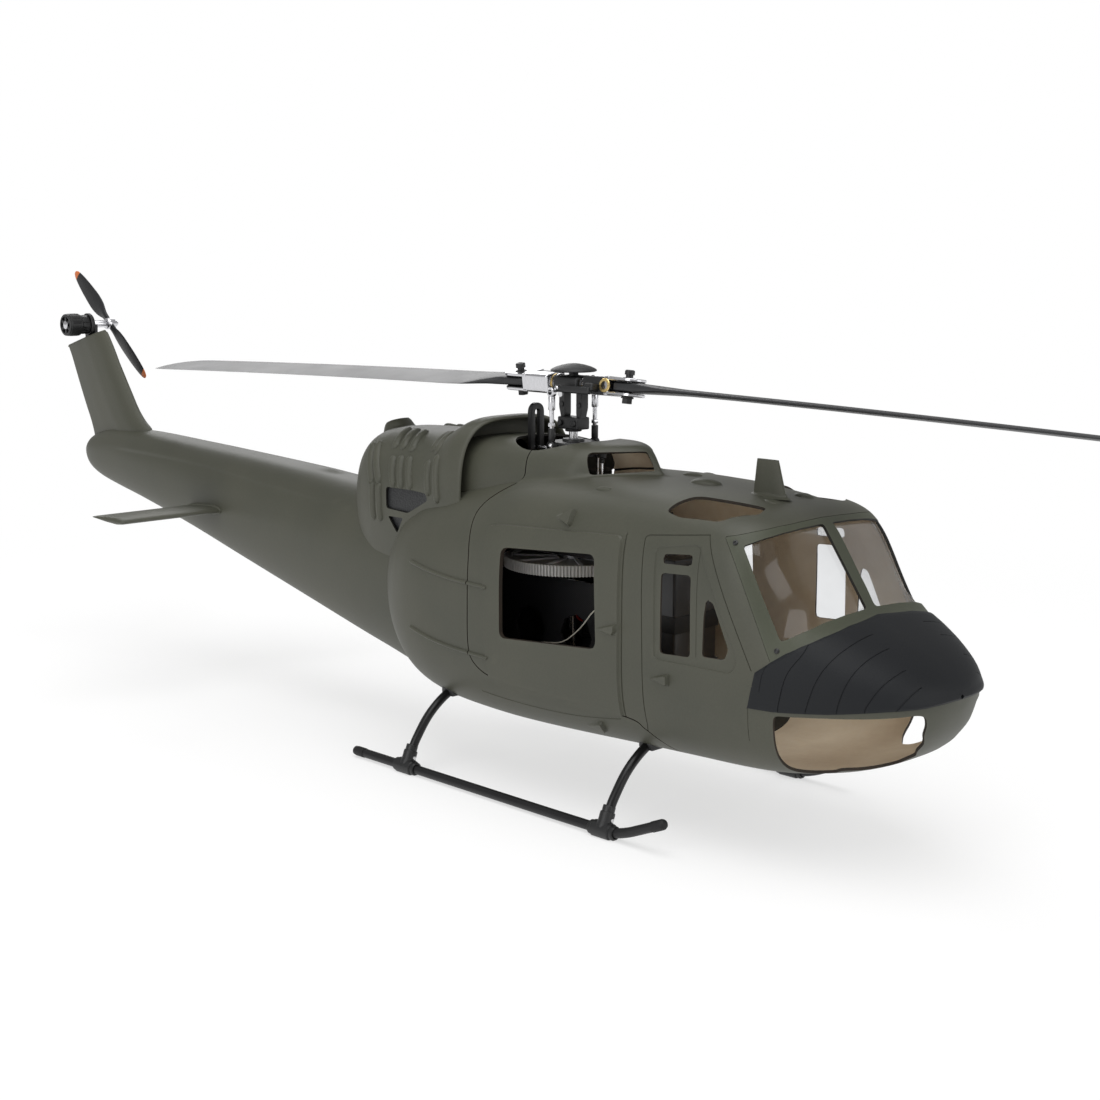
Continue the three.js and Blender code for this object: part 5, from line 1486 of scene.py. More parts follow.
for place, y in CROSS_TUBE_Y.items():
    flat = curve([[-x, z] for x, z in CROSS_TUBE[:0:-1]] + CROSS_TUBE, 6)
    part = Part()
    part.tube(xyz(flat[:, 0], y, flat[:, 1]), 2.5, 28)
    part.finish("cross_bar_" + place, [GLOSS_BLACK], "cross_tube_" + place,
                slot="satin_black_tube")
    for side, word in ((-1, "right"), (1, "left")):
        part = Part()
        x = side * SKID_X
        for start, end, radius in ((-8.6, -5.4, 3.7), (-6.2, 6.2, 4.35), (5.4, 8.6, 3.7)):
            part.ring([x, y + start, SKID_Z], [x, y + end, SKID_Z], radius, 2.62, 32,
                      bevel=0.5)
        part.lathe(TEE_STEM, [x, y, SKID_Z], [-side * 4.7, 0, 15.8 - SKID_Z], 30)
        part.box([x - 3.0, y - 6.0, 0.02], [x + 3.0, y + 6.0, 2.4], bevel=0.7)
        part.lathe(solid((1.1, -0.3), (1.1, 0.4), (0.7, 0.55)),
                   [x - side * 2.2, y - 3.9, 8.6], (0, -1, 0), 16, mat=1)
        # nothing may reach below the ground
        part.points = [np.maximum(points, [-np.inf, -np.inf, 0.02]) for points in part.points]
        part.finish("tee_fitting_%s_%s" % (place, word), [BLACK, STEEL],
                    "skid_saddle_%s_%s" % (place, word))
# belly blocks that the cross tubes pass through
part = Part()
for y in CROSS_TUBE_Y.values():
    for side in (-1, 1):
        part.box([side * 40 - 5, y - 5, 38.5], [side * 40 + 5, y + 5, 45], bevel=1.6)
part.finish("cross_tube_clamps", [BLACK])

# ------------------------------------------------------------------ main shaft and gear
part = Part()
part.lathe(solid((2.2, 52), (2.5, 52.4), (2.5, 197.4), (2.2, 197.8)), segments=40)
part.finish("main_shaft_ground", [STEEL], "main_shaft", "rotor", "steel_shaft")


def toothed(count, radius, depth, root_half, tip_half):
    """Flat outline of a toothed wheel; the half widths are shares of the tooth pitch."""
    outline = []
    for i in range(count):
        for share, reach in ((-root_half, radius - depth), (-tip_half, radius),
                             (tip_half, radius), (root_half, radius - depth)):
            angle = (i + share) / count * 2 * math.pi
            outline.append([reach * math.cos(angle), reach * math.sin(angle)])
    return np.array(outline)


def at_height(flat, z):
    return np.insert(flat, 2, z, axis=1)


GEAR_RADIUS = 38.4
low, high = part_box("main_gear")
gear_low, gear_top = low[2] + 6, high[2] - 3
teeth = toothed(128, GEAR_RADIUS, 1.35, 0.32, 0.14)
bore = unit(teeth) * (GEAR_RADIUS - 4.5)
chamfer = unit(teeth) * (GEAR_RADIUS - 4.2)
part = Part()
part.loft([at_height(bore, gear_top - 1.5), at_height(bore, gear_top - 0.2),
           at_height(chamfer, gear_top), at_height(teeth * 0.996, gear_top),
           at_height(teeth, gear_top - 0.25), at_height(teeth, gear_low + 0.25),
           at_height(teeth * 0.996, gear_low), at_height(chamfer, gear_low),
           at_height(bore, gear_low + 0.2), at_height(bore, gear_low + 1.5)])
part.lathe(disc(GEAR_RADIUS - 4.4, gear_low + 1.55, gear_top - 1.55), segments=96, mat=1)
part.boxes_around(10, [([9, -1.1, gear_top - 1.7], [GEAR_RADIUS - 4.6, 1.1, gear_top - 0.5],
                        1, 0.3)])
part.lathe(solid((6.4, gear_low - 6), (7, gear_low - 5.4), (7, gear_top + 2.5),
                 (6.5, gear_top + 3)), mat=2)
for k in range(4):
    angle = k * math.pi / 2
    part.lathe(solid((1.2, gear_top + 2.6), (1.2, gear_top + 3.2), (0.9, gear_top + 3.4)),
               (4.6 * math.cos(angle), 4.6 * math.sin(angle), 0), segments=14, mat=3)
part.finish("main_gear_toothed", [GEAR, GEAR_WEB, MACHINED, STEEL], "main_gear", "rotor",
            "gear_white")

# ------------------------------------------------------------------ rotor head
# lower clamp, two cheeks, head block and feathering spindle
part = Part()
part.box([-4.8, -7.8, 191.8], [4.8, 7.8, 198.6], bevel=0.8, steps=3)
part.lathe(solid((4.4, 190.6), (4.6, 190.9), (4.6, 192)), segments=32)
for side in (-1, 1):
    cheek = [[4.6, 197.8], [7.8, 197.8], [7.8, 199.2], [9.0, 203.6], [9.0, 212.4],
             [4.2, 212.4], [4.2, 200.4]]
    part.prism(rounded([[side * y, z] for y, z in cheek], 0.7, 3), 0, -2.6, 2.6, bevel=0.4)
part.box([-7.2, -9.6, 211.8], [7.2, 9.6, 221.0], bevel=1.6, steps=3)
part.rod([0, -27, HEAD_Z], [0, 27, HEAD_Z], 2.0, mat=1)
for side in (-1, 1):
    part.lathe(solid((5.2, 9.4), (5.2, 10.6), (4.6, 11.0), (4.6, 11.7)), (0, 0, HEAD_Z),
               (0, side, 0), 36, mat=2)
    part.lathe(solid((1.7, 4.6), (1.7, 5.8), (1.3, 6.1)), (0, side * 5.2, 195.2),
               (-1, 0, 0), 20)
    part.lathe(disc(1.5, 4.6, 5.8), (0, side * 5.2, 195.2), (1, 0, 0), 6, mat=1)
for y in (-6.6, 6.6):
    part.lathe(solid((1.5, 2.5), (1.5, 3.2), (0.9, 3.4)), (0, y, 205.2), (-1, 0, 0), 20)
part.lathe(disc(3.4, 220.9, 221.32), segments=24)
part.finish("rotor_head_block", [BLACK, STEEL, ALLOY], "rotor_hub", "rotor")

part = Part()
part.lathe([(0, 221.36), (2.6, 221.36), (2.6, 222.8), (3.4, 223.1), (12.0, 223.25),
            (12.6, 223.5), (12.75, 223.9), (12.5, 224.4), (11.6, 225.0), (9.6, 225.9),
            (6.6, 226.8), (3.4, 227.45), (1.2, 227.68), (0, 227.7)], segments=56)
part.finish("head_cap_domed", [plastic("cap_black", (0.006, 0.0062, 0.0066), rough=0.5)],
            "head_button", "rotor", "button_black")


# ------------------------------------------------------------------ grips and main blades
# Drawn about the feathering axis. side is 1 for blade a, which points along +y.
# Boxes of a grip: low and high corner, material slot, bevel
GRIP_BODY = [([-7.4, 13.0, -5.0], [1.6, 33.0, 5.5], 0, 1.3),
             ([1.7, 13.2, -4.7], [7.2, 33.0, 4.8], 2, 0.9),
             ([-7.5, 30.0, -4.95], [7.5, 33.2, 5.4], 0, 0.6)]
PITCH_HORN = [([4.6, 20, -3.4], [12.4, 26, 0.6], 2, 0.7),
              ([10.5, -1.2, -5.4], [13.4, 24.6, -1.6], 2, 0.8)]
# Round-ended plates: half width, inner end y, z range, material slot, bevel
GRIP_PLATES = [(7.5, 30.0, 3.35, 5.0, 0, 0.35), (7.5, 30.0, -4.6, -2.95, 0, 0.35),
               (6.9, 32.0, 3.1, 3.45, 2, 0.1), (6.9, 32.0, -3.05, -2.8, 2, 0.1)]
# Blade: y, leading edge, trailing edge, thickness
BLADE_ROWS = np.array([
    [34.2, 4.5, 4.5, 5.4], [36.2, 6.0, 6.0, 5.6], [40, 6.5, 6.5, 5.6], [50, 6.6, 7.0, 5.6],
    [58, 7.6, 10, 5.2], [72, 9.8, 20, 4.2], [86, 10.4, 21.6, 3.4], [200, 10.4, 21.6, 2.9],
    [366, 10.3, 21.5, 2.3], [374, 9.6, 21.4, 2.15], [380, 7.9, 21.3, 2.0],
    [385, 5.4, 21.1, 1.8], [389, 2.0, 20.8, 1.55], [391.6, -2.2, 20.4, 1.35],
    [393, -7.6, 19.8, 1.1]])
BLADE_Y = np.concatenate([
    np.linspace(34.2, 37, 5), np.linspace(38, 90, 34), np.linspace(95, 365, 40),
    np.linspace(367, 392.4, 26), [392.8, 393.0]])


def finish_at_head(part, side, *labels, angle=35):
    part.move(rotation("Y", -side * BLADE_PITCH), (0, 0, HEAD_Z))
    part.finish(*labels, angle=angle)


def grip(letter, side):
    """Polished half on the trailing side, black half with the pitch horn on the leading."""
    part = Part()

    def mirrored_boxes(boxes):
        for low, high, mat, bevel in boxes:
            ends = np.array([low, high]) * [side, side, 1]
            part.box(ends.min(0), ends.max(0), mat, bevel, steps=3)
    part.ring([0, side * 12.05, 0], [0, side * 13.8, 0], 5.0, 2.45, 44, mat=1, bevel=0.3)
    mirrored_boxes(GRIP_BODY)
    part.ring([side * 6.6, side * 30.4, 0.2], [side * 7.75, side * 30.4, 0.2], 3.9, 2.3, 36,
              mat=1)
    part.lathe(disc(2.2, 6.9, 7.3), (0, side * 30.4, 0.2), (side, 0, 0), 24, mat=2)
    turns = np.linspace(0, math.pi, 26)
    for half, start, low, high, mat, bevel in GRIP_PLATES:
        plate = np.concatenate([
            [[-half, start], [half, start]],
            np.stack([half * np.cos(turns), 43.5 + half * np.sin(turns)], 1)])
        part.prism(plate * [1, side], 2, low, high, mat, bevel)
    mirrored_boxes(PITCH_HORN)
    horn_end = (0, side * 0.6, -3.5)
    part.lathe(solid((1.4, 13.2), (1.0, 13.8), (0.8, 14.1)), horn_end, (side, 0, 0), 18, mat=3)
    part.lathe(solid((1.9, -10.6), (1.9, -9.6), (1.3, -9.2)), horn_end, (side, 0, 0), 6, mat=3)
    # end bolt of the spindle
    part.lathe(disc(3.0, 27.1, 28.2), (0, 0, 0), (0, side, 0), 24, mat=3)
    finish_at_head(part, side, "grip_%s_machined" % letter, [ALLOY, BRASS, BLACK, STEEL],
                   "blade_grip_" + letter, "grip_" + letter, "silver_alloy")


def blade_bolt(letter, side):
    part = Part()
    y = side * 41
    part.lathe(disc(1.5, -7.6, 5.6), (0, y, 0), segments=24, mat=1)
    part.lathe(solid((3.3, 5.05), (3.3, 5.4), (2.0, 5.5), (2.0, 6.9), (2.7, 7.0), (2.7, 9.0),
                     (2.3, 9.5), (1.9, 9.6), (1.2, 9.6), (1.1, 8.4)), (0, y, 0), segments=32)
    part.lathe(solid((3.4, -5.6), (3.4, -5.0), (3.2, -4.65)), (0, y, 0), segments=28)
    part.hexagon((0, y, -8.4), 3.0, 3.0)
    finish_at_head(part, side, "blade_bolt_%s_set" % letter, [BLACK, STEEL],
                   "blade_bolt_" + letter, "grip_" + letter)


def main_blade(letter, side):
    """A block at the root that turns into an aerofoil, drooping towards the tip."""
    chord = chordwise(26)
    foil = (2.969 * np.sqrt(chord) - 1.26 * chord - 3.516 * chord ** 2
            + 2.843 * chord ** 3 - 1.036 * chord ** 4)
    foil = foil / foil.max()
    block = np.clip(np.sin(np.linspace(0, math.pi, 26)), 0, 1) ** 0.35
    rings = []
    for y in BLADE_Y:
        leading, trailing, thickness = table_row(BLADE_ROWS, y)
        share = float(smoothstep((y - 50) / 26.0))
        half = thickness / 2 * (block * (1 - share)
                                + (foil * 0.96 + 0.04 * (chord < 1)) * share)
        if y > 391:
            half = half * (0.9 if y < 392.6 else 0.6)
        z = 0.2 - 8.0 * (max(y - 34, 0) / 359) ** 1.5
        rings.append(slab_ring(side * (leading - chord * (leading + trailing)), side * y,
                               z, half))
    part = Part()
    part.loft(rings)
    finish_at_head(part, side, "blade_%s_skin" % letter, [BLADE], "main_blade_" + letter,
                   "blade_" + letter, "blade_grey", angle=50)


for letter, side in (("a", 1), ("b", -1)):
    grip(letter, side)
    blade_bolt(letter, side)
    main_blade(letter, side)

# ------------------------------------------------------------------ swashplate
SERVO_RODS = [("right", -22.4, 3.0), ("left", 22.4, 3.0), ("front", 0.8, -21.0)]
PITCH_LINKS = [("a", 15.5, -1.2), ("b", -15.5, 1.2)]

arm_z = SWASH_Z + 1.5
part = Part()
part.ring([0, 0, SWASH_Z + 0.05], [0, 0, SWASH_Z + 3], 16, 6.6, 56, bevel=0.5)
for _, x, y in SERVO_RODS:
    reach = math.hypot(x, y)
    ends = [[x / reach * radius, y / reach * radius, arm_z]
            for radius in (13, reach - 3.6, reach - 4.0, reach - 2.2)]
    part.rod(ends[0], ends[1], 2.1, 20, end_radius=1.5)
    part.rod(ends[2], ends[3], 0.9, 16, mat=1)
part.rod([0, 13, arm_z], [0, 20, arm_z], 1.9, 20)
part.rod([0, 20, arm_z], [0, 32.2, arm_z], 1.0, 20, mat=1)
part.finish("swash_fixed_ring", [BLACK, ALLOY], "swash_lower_ring", "swash_lower")
for word, x, y in SERVO_RODS:
    part = Part()
    part.rod([x, y, SERVO_ROD_Z + 8], [x, y, SWASH_Z - 2.6], 0.95, 16, mat=1)
    part.rod([x, y, SERVO_ROD_Z + 3.4], [x, y, SERVO_ROD_Z + 9.4], 2.1, bevel=0.5)
    part.rod([x, y, SWASH_Z - 3.4], [x, y, SWASH_Z - 1.0], 1.5, 20, bevel=0.3)
    part.ball([x, y, arm_z], 2.05, mat=2)
    part.ring([x, y, SWASH_Z - 0.3], [x, y, SWASH_Z + 3.3], 2.75, 1.9, 28, bevel=0.4)
    part.finish("swash_rod_%s_cups" % word, [BLACK, STEEL, ALLOY], "servo_rod_" + word,
                "swash_lower")

part = Part()
part.lathe([(radius, SWASH_Z + height) for radius, height in (
    (2.8, 3.4), (13.2, 3.4), (13.2, 5.9), (12.2, 7.0), (6.2, 7.2), (5.8, 8.6), (2.8, 8.6))],
    segments=56)
link_foot, link_top = SWASH_Z + 5.4, HEAD_Z - 3.2
for _, x, y in PITCH_LINKS:
    part.rod([x * 0.7, y * 0.7, link_foot], [x * 0.84, y * 0.84, link_foot], 1.8, 20)
for side in (1, -1):
    part.rod([0, side * 12, SWASH_Z + 5.2], [0, side * 14.6, SWASH_Z + 5.2], 1.3, 18, mat=1)
part.finish("swash_turning_ring", [BLACK, ALLOY], "swash_upper_ring", "swash_upper")
for letter, x, y in PITCH_LINKS:
    part = Part()
    part.ball([x, y, link_foot], 2.1, mat=2)
    part.ring([x - 1.5, y, link_foot], [x + 1.5, y, link_foot], 2.9, 2.0, 28, bevel=0.4)
    part.rod([x, y, link_foot + 2.4], [x, y, link_foot + 9.6], 1.9, bevel=0.5)
    part.rod([x, y, link_foot + 9], [x, y, link_top - 9.4], 1.25, 20, mat=1)
    part.hexagon((x, y, link_foot + 10.6), 2.1, 2.0, mat=1)
    part.rod([x, y, link_top - 10.4], [x, y, link_top - 2.8], 1.9, mat=1, bevel=0.5)
    part.ring([x - 1.5, y, link_top - 0.6], [x + 1.5, y, link_top - 0.6], 2.7, 1.5, 28,
              mat=1, bevel=0.4)
    part.finish("pitch_link_%s_turnbuckle" % letter, [BLACK, ALLOY, STEEL],
                "pitch_link_" + letter, "swash_upper", "silver_alloy")

# anti-rotation guide: an upright loop on a foot
GUIDE_X = 3.45
leg = (166, 180, 195, 199.2)
path = np.array(
    [[-GUIDE_X, 0, z] for z in leg]
    + [[-GUIDE_X * math.cos(a), 0, 199.4 + 3.3 * math.sin(a)]
       for a in np.linspace(0.2, math.pi - 0.2, 12)]
    + [[GUIDE_X, 0, z] for z in leg[::-1]])
rings = []
for point, along in zip(path, unit(np.gradient(path, axis=0))):
    across = np.array([-along[2], 0, along[0]])
    rings.append(np.array([point + across * wide + np.array([0, deep, 0]) for wide, deep in (
        (-1.72, -1.2), (-1.45, -1.3), (1.45, -1.3), (1.72, -1.2),
        (1.72, 1.2), (1.45, 1.3), (-1.45, 1.3), (-1.72, 1.2))]))
part = Part()
part.loft(rings)
part.move(shift=(0, 29.7, 0))
part.box([-5.2, 28.4, 136.5], [5.2, 31.0, 170.0], bevel=0.6)
part.box([-9, 26.5, 136.5], [9, 36, 139], bevel=0.5)
part.finish("guide_loop", [BLACK], "swash_guide")

# ------------------------------------------------------------------ tail rotor
tail_axis = (0, TAIL_Y, TAIL_Z)
part = Part()
part.lathe(solid((7.8, 2.6), (8.2, 3.0), (8.2, 5.0), (7.8, 5.4)), tail_axis, (1, 0, 0))
part.prism(rounded([[TAIL_Y - 7, 206], [TAIL_Y + 7, 206], [TAIL_Y + 7.6, 222],
                    [TAIL_Y + 8.2, TAIL_Z], [TAIL_Y - 8.2, TAIL_Z], [TAIL_Y - 7.6, 222]], 1.4),
           0, 5.3, 7.4, bevel=0.4)
for z in (211, 219):
    for y in (TAIL_Y - 4, TAIL_Y + 4):
        part.lathe(solid((1.3, 7.3), (1.3, 8.2), (1.0, 8.5)), (0, y, z), (1, 0, 0), 16, mat=1)
part.finish("tail_motor_bracket", [BLACK, STEEL], "tail_motor_mount")

part = Part()
part.lathe(disc(3.4, -4.2, 2.4), tail_axis, (1, 0, 0), 32, mat=1)
part.boxes_around(12, [([-3.4, -1.35, 3.0], [1.8, 1.35, 6.4], 0, 0.6),
                       ([-3.9, -1.7, 6.2], [2.2, 1.7, 7.0], 1, 0.2)], "X", 0, tail_axis)
part.finish("tail_motor_windings", [COPPER, BLACK], "tail_motor_stator",
            slot="winding_copper")

part = Part()
part.ring([-14.0, TAIL_Y, TAIL_Z], [-4.6, TAIL_Y, TAIL_Z], 8.2, 7.1, 56, bevel=0.35)
part.lathe(solid((3.0, 11.6), (3.0, 15.2), (2.4, 15.6)), tail_axis, (-1, 0, 0), 32, mat=1)
part.ring([-15.2, TAIL_Y, TAIL_Z], [-13.6, TAIL_Y, TAIL_Z], 8.0, 6.3, 56, bevel=0.35)
part.boxes_around(6, [([-15.0, -1.1, 2.4], [-13.6, 1.1, 6.8], 0, 0.3)], "X", 0, tail_axis)
part.boxes_around(12, [([-12.6, -1.2, 8.0], [-6.0, 1.2, 8.28], 2, 0.12)], "X", 0.5, tail_axis)
part.rod([-10, TAIL_Y, TAIL_Z], [19.2, TAIL_Y, TAIL_Z], 1.25, mat=1)
part.lathe(solid((2.5, 8.0), (2.7, 8.3), (2.7, 17.6), (2.4, 18.0)), tail_axis, (1, 0, 0), 32,
           mat=1)
part.finish("tail_motor_rotor", [BLACK, ALLOY, RUBBER], "tail_motor_bell", "tail_spinner")

# Tail blade: distance from the axis, leading edge, trailing edge, thickness, twist in degrees
TAIL_BLADE_ROWS = np.array([
    [2, 2.6, 2.6, 3.6, 0], [9, 3.0, 3.0, 3.2, 2], [13, 4.2, 4.4, 2.7, 7],
    [18, 5.6, 5.8, 2.3, 11], [26, 6.2, 6.6, 2.0, 12], [38, 5.6, 6.2, 1.7, 10],
    [48, 4.6, 5.4, 1.4, 8.6], [55, 3.4, 4.4, 1.2, 7], [59, 2.2, 3.4, 1.0, 6.2],
    [61.0, 0.6, 2.2, 0.7, 6]])
TIP_START = 56.0        # where the orange tip begins


def tail_blade_ring(distance, side):
    leading, trailing, thickness, twist = table_row(TAIL_BLADE_ROWS, distance)
    chord = chordwise(18)
    profile = (np.clip(np.sin(np.linspace(0, math.pi, 18)), 0, 1) ** 0.7
               * np.interp(chord, [0, .4, 1], [1, 1, .55]))
    cos, sin = math.cos(math.radians(twist)), math.sin(math.radians(twist))
    along = leading - chord * (leading + trailing)
    faces = [xyz(half * cos + along * sin, side * distance, (along * cos - half * sin) * side)
             for half in (thickness / 2 * profile, -thickness / 2 * profile)]
    return closed_ring(*faces)


part = Part()
part.lathe(solid((3.9, -3.4), (4.2, -3.1), (4.2, 2.7), (3.9, 3.0)), (0, 0, 0), (1, 0, 0), 40,
           mat=1)
part.lathe(solid((2.6, 3.0), (2.6, 4.6), (2.2, 5.0), (1.6, 6.2)), (0, 0, 0), (1, 0, 0), 32,
           mat=1)
distances = np.concatenate([np.linspace(2, TIP_START, 40), np.linspace(56.4, 61.0, 12)])
for side in (-1, 1):
    part.loft([tail_blade_ring(d, side) for d in distances[distances <= TIP_START]])
    part.loft([tail_blade_ring(d, side) for d in distances[distances >= TIP_START]], mat=2)
part.move(rotation("X", 38.9), (22.4, TAIL_Y, TAIL_Z))
part.finish("tail_rotor_moulded", [TAIL_BLADE, ALLOY, ORANGE], "tail_rotor", "tail_spinner",
            "tail_blade", angle=50)

# ------------------------------------------------------------------ drive motor
motor_axis = (0, MOTOR_Y, 0)
part = Part()
part.lathe(solid((4, 74), (4, 75), (6.5, 75.4), (12.6, 76), (13.6, 77), (14, 78.4),
                 (14, 98.6), (13.6, 99.8), (12.6, 100.4), (12.4, 98)), motor_axis,
           segments=56)
part.boxes_around(12, [([13.7, -1.4, 81], [14.12, 1.4, 96], 1, 0.15)], shift=motor_axis)
part.lathe(disc(1.6, 73, 100), motor_axis, segments=20, mat=2)
part.ring([0, MOTOR_Y, 96.4], [0, MOTOR_Y, 98.6], 14.15, 13.4, 56, mat=1, bevel=0.15)
part.finish("drive_motor_can", [BLACK, RED, STEEL], "motor_bell", "motor_rotor")

low, high = part_box("motor_pinion")
teeth = toothed(14, 4.2, 1.0, 0.3, 0.13)
part = Part()
part.loft([at_height(teeth * 0.97, low[2]), at_height(teeth, low[2] + 0.3),
           at_height(teeth, high[2] - 0.3), at_height(teeth * 0.97, high[2])])
part.move(shift=motor_axis)
part.finish("motor_pinion_toothed", [BRASS], "motor_pinion", "motor_rotor", "pinion_brass")

# ------------------------------------------------------------------ battery and electronics
low, high = part_box("battery_pack")
part = Part()
part.box(low + [0.2, 0.2, 0.1], high - [0.2, 0.2, 4.5], bevel=1.8, steps=3)
part.box([low[0] + 1.4, low[1] + 1.4, high[2] - 5], high - [1.4, 1.4, 1.2], 1, 0.8)
for z in (low[2] + 16, low[2] + 42):
    part.box([low[0] - 0.35, low[1] - 0.35, z], [high[0] + 0.35, high[1] + 0.35, z + 9],
             2, 0.3)
part.finish("battery_wrapped", [BATTERY, BLACK, RUBBER], "battery_pack", slot="battery_wrap")

low, high = part_box("speed_controller")
part = Part()
part.box(low, high - [2.4, 0, 0], bevel=0.8)
for y in np.arange(low[1] + 2, high[1] - 2, 2.6):
    part.box([high[0] - 2.6, y, low[2] + 1], [high[0], y + 1.1, high[2] - 1], 1, 0.2)
part.finish("speed_controller_finned", [BLACK, GREY], "speed_controller",
            slot="controller_grey")

low, high = part_box("flight_controller")
part = Part()
part.box(low, high - [0, 0, 0.6], bevel=1.4, steps=3)
part.box([low[0] + 2, low[1] + 2, high[2] - 1], high - [2, 2, 0], 1, 0.3)
for x in np.arange(low[0] + 3, high[0] - 4, 4.2):
    part.box([x, low[1] - 0.6, low[2] + 3], [x + 3, low[1] + 1, low[2] + 7.5], 2, 0.2)
part.finish("flight_controller_case", [BLACK, BOARD, RED], "flight_controller")

# Output shaft of each servo: x of its outer end, y
for word, shaft_x, shaft_y in (("right", -24.25, 17.0), ("left", 24.25, 17.0),
                               ("front", 2.65, -35.0)):
    low, high = part_box("servo_" + word)
    if word == "right":
        start, end = low[0], high[0] - 1.8
        shaft = (end - 1, shaft_x)
    else:
        start, end = low[0] + 1.4, high[0]
        shaft = (shaft_x, start + 1)
    part = Part()
    part.box([start, low[1], 136.5], [end, high[1], 144.8], bevel=0.7)
    part.box([start + 0.25, low[1] + 0.25, 144.4], [end - 0.25, high[1] - 0.25, 147.2], 1)
    part.box([start, low[1], 146.9], [end, high[1], 149.2], bevel=0.7)
    part.rod(*[[x, shaft_y, SERVO_ROD_Z] for x in shaft], 2.2, mat=2)
    part.finish("servo_%s_case" % word, [BLACK, RED, BRASS], "servo_" + word)

# ------------------------------------------------------------------ wiring
# name, radius, material, path
WIRES = [
    ("battery_lead_red", 1.3, RED_WIRE, [
        [-4, -72, 132.5], [-6, -65, 137], [-12, -53, 126], [-15, -30, 104], [-8, -12, 90],
        [6, -14, 84], [8, -20, 82]]),
    ("battery_lead_black", 1.3, RUBBER, [
        [4, -72, 132.5], [4, -64, 138], [-8, -52, 128], [-15.5, -34, 100], [-10, -16, 82],
        [4, -18, 77], [8, -21, 76]])]
WIRES += [("motor_lead_%d" % k, 0.95, RUBBER, [
    [-3 + 3 * k, -31.5, 103], [-4 + 3 * k, -27, 98 - k], [2 + 2 * k, -24, 92],
    [8 + 1.6 * k, -20, 88 - 2 * k]]) for k in range(3)]
WIRES.append(("aerial_lead", 0.35, PALE_WIRE, [
    [-19.8, 6, 74], [-22, -14, 78], [-25, -30, 88], [-27.5, -42, 99], [-29, -50, 104]]))
WIRES += [("servo_lead_" + word, 0.9, material, [
    [side * 30, 29, 141], [side * 24, 44, 134], [side * 20.5, 56, 118],
    [side * 14, 61.5, 105]])
    for side, word, material in ((-1, "right", RED_WIRE), (1, "left", RUBBER))]
for name, radius, material, path in WIRES:
    part = Part()
    part.tube(curve(path, 8), radius, 12)
    part.finish(name, [material])


# ------------------------------------------------------------------ windscreen screws
def onto_volume(volume, point):
    """Nearest point on the skin and the outward direction there."""
    point = np.array(point, float)
    for _ in range(5):
        slope = np.array([(volume((point + 0.2 * axis)[None])[0]
                           - volume((point - 0.2 * axis)[None])[0]) / 0.4
                          for axis in np.eye(3)])
        length = max(np.linalg.norm(slope), 1e-6)
        outward = slope / length
        point = point - outward * float(np.clip(volume(point[None])[0] / length, -2, 2))
    return point, outward


part = Part()
for x, y, z in ((54.7, -161.8, 154.4), (57.5, -189.8, 107.6)):
    for side in (-1, 1):
        part.lathe(solid((1.25, -0.4), (1.25, 0.42), (0.95, 0.66), (0.55, 0.7), (0.5, 0.3)),
                   *onto_volume(cabin, (side * x, y, z)), 18)
part.finish("windshield_screws", [BLACK], body="canopy_shell")

# ------------------------------------------------------------------ finishes of kept pieces
KEPT = {"frame_plate_right": CARBON, "frame_plate_left": CARBON, "servo_deck": CARBON,
        "battery_tray": CARBON, "upper_bearing_block": MACHINED,
        "lower_bearing_block": MACHINED, "motor_mount": MACHINED, "motor_stator": COPPER,
        "servo_arm_right": WHITE, "servo_arm_left": WHITE, "servo_arm_front": WHITE}
for name, material in KEPT.items():
    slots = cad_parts[name].data.materials
    if len(slots) == 0:
        slots.append(material)
    for k in range(len(slots)):
        slots[k] = material


# ------------------------------------------------------------------ floor (metres from here on)
def floor_material():
    """White paper that fades into an even white far from the object."""
    material, tree, surface = new_material("floor_white")
    surface.inputs["Base Color"].default_value = (0.97, 0.97, 0.97, 1)
    surface.inputs["Roughness"].default_value = 0.95
    surface.inputs["Specular IOR Level"].default_value = 0.05
    distance = add_node(tree, "VectorMath", {0: object_coords(tree)}, operation="LENGTH")
    fade = add_node(tree, "MapRange", {
        "From Min": 0.30, "From Max": 0.9, "To Min": 0.6,
        "Value": distance.outputs["Value"]}, interpolation_type="SMOOTHSTEP")
    glow = add_node(tree, "Emission", {0: (1, 1, 1, 1), 1: 1.0})
    mix = add_node(tree, "MixShader", {0: fade.outputs[0], 1: surface.outputs[0],
                                       2: glow.outputs[0]})
    tree.links.new(mix.outputs[0], tree.nodes["Material Output"].inputs[0])
    return material


FLOOR_RADIUS, FLOOR_SIDES = 30, 96
FLOOR_Z = -0.00005      # just under the skids
scene = bpy.context.scene
mesh = bpy.data.meshes.new("floor")
turns = np.arange(FLOOR_SIDES) / FLOOR_SIDES * 2 * math.pi
rim = [(FLOOR_RADIUS * math.cos(t), FLOOR_RADIUS * math.sin(t), FLOOR_Z) for t in turns]
mesh.from_pydata([(0, 0, FLOOR_Z)] + rim, [],
                 [(0, 1 + i, 1 + (i + 1) % FLOOR_SIDES) for i in range(FLOOR_SIDES)])
mesh.materials.append(floor_material())
mesh.update()
floor = bpy.data.objects.new("floor", mesh)
scene.collection.objects.link(floor)


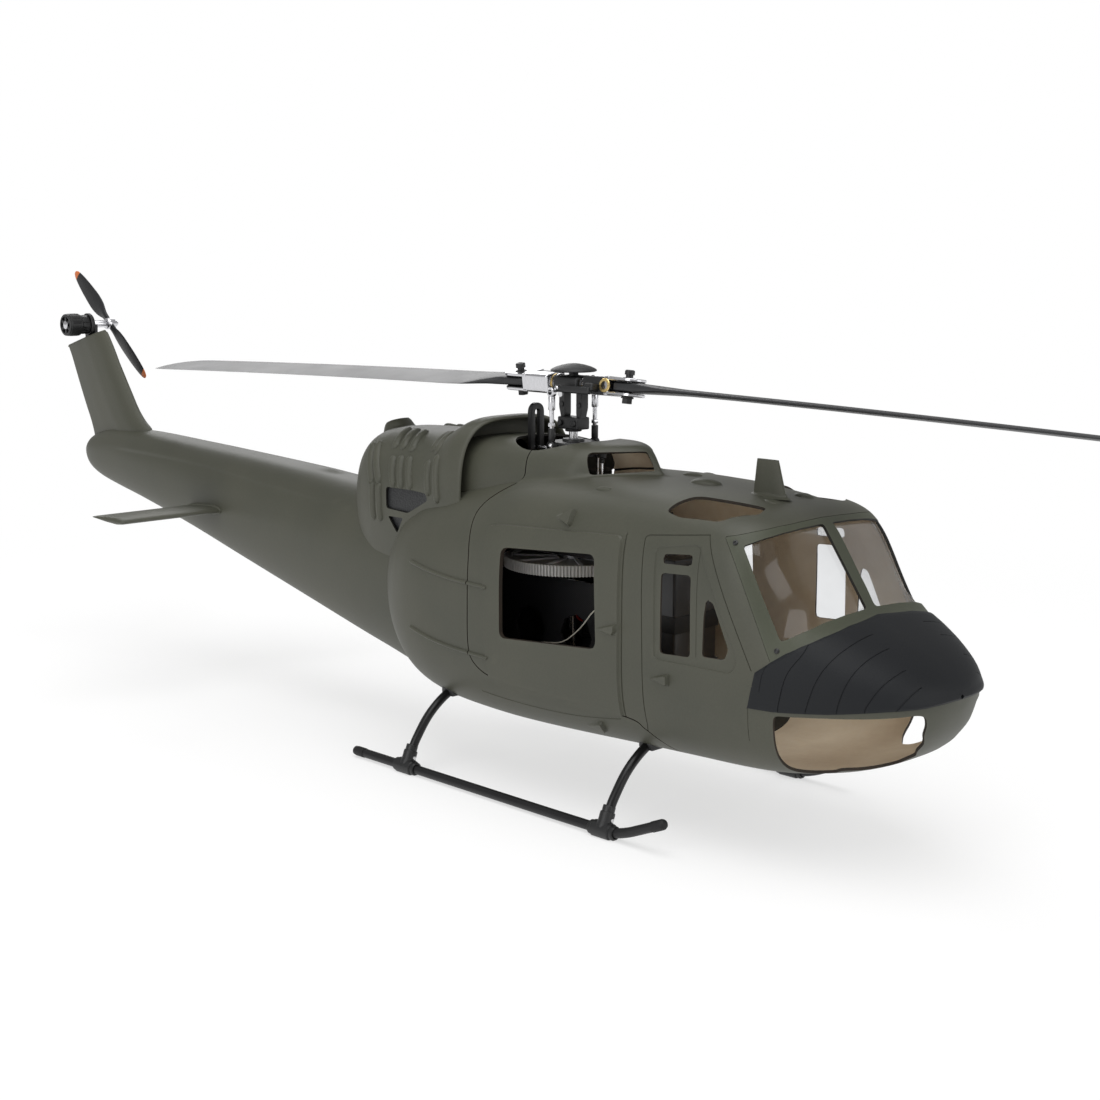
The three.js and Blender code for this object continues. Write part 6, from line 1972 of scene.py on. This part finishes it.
# ------------------------------------------------------------------ lights and world
def area_light(name, location, target, size, size_y, power):
    light = bpy.data.lights.new(name, "AREA")
    light.energy = power
    light.shape = "RECTANGLE"
    light.size = size
    light.size_y = size_y
    lamp = bpy.data.objects.new(name, light)
    scene.collection.objects.link(lamp)
    lamp.location = Vector(location)
    aim = Vector(target) - Vector(location)
    lamp.rotation_euler = aim.to_track_quat("-Z", "Y").to_euler()


CENTRE = (0, 0.0, 0.12)
area_light("key_top", (-0.25, -0.35, 1.75), (0, 0.05, 0.12), size=1.5, size_y=2.0, power=21)
area_light("fill_left", (-1.7, -0.1, 0.75), CENTRE, size=1.2, size_y=1.2, power=9)
area_light("fill_front", (0.35, -1.9, 0.8), CENTRE, size=1.2, size_y=1.2, power=8.5)
area_light("rim_back", (0.9, 1.6, 1.1), CENTRE, size=1.2, size_y=1.0, power=10)

world = bpy.data.worlds.new("soft_white")
scene.world = world
world.use_nodes = True
background = world.node_tree.nodes["Background"]
background.inputs[0].default_value = (1, 1, 1, 1)
# full white to the camera, dimmer as a light
rays = add_node(world.node_tree, "LightPath")
strength = map_range(world.node_tree, rays.outputs["Is Camera Ray"], 0.43, 1.0)
world.node_tree.links.new(strength, background.inputs[1])

# ------------------------------------------------------------------ camera
CAMERA_PLACE = [-690.08, -689.09, 292.05]     # millimetres about the mast
turn, tilt, roll = math.radians(-44.29), math.radians(9.76), math.radians(0.08)
backward = np.array([math.sin(turn) * math.cos(tilt), -math.cos(turn) * math.cos(tilt),
                     math.sin(tilt)])
level_right = unit(np.cross(-backward, [0, 0, 1.0]))
level_up = np.cross(level_right, -backward)
right = level_right * math.cos(roll) + level_up * math.sin(roll)
up = -level_right * math.sin(roll) + level_up * math.cos(roll)
lens = bpy.data.cameras.new("camera")
lens.sensor_fit = "HORIZONTAL"
lens.sensor_width = 36
lens.lens = 58.3481455
lens.clip_start = 0.02
lens.clip_end = 60
camera = bpy.data.objects.new("camera", lens)
scene.collection.objects.link(camera)
place = (np.array(CAMERA_PLACE) + MAST) * MM
axes = np.stack([right, up, backward, place], 1)
camera.matrix_world = Matrix([*axes.tolist(), [0, 0, 0, 1]])
scene.camera = camera
scene.view_settings.view_transform = "Standard"
scene.view_settings.look = "None"
scene.view_settings.exposure = 0.0
scene.view_settings.gamma = 1.0

bpy.context.view_layer.update()
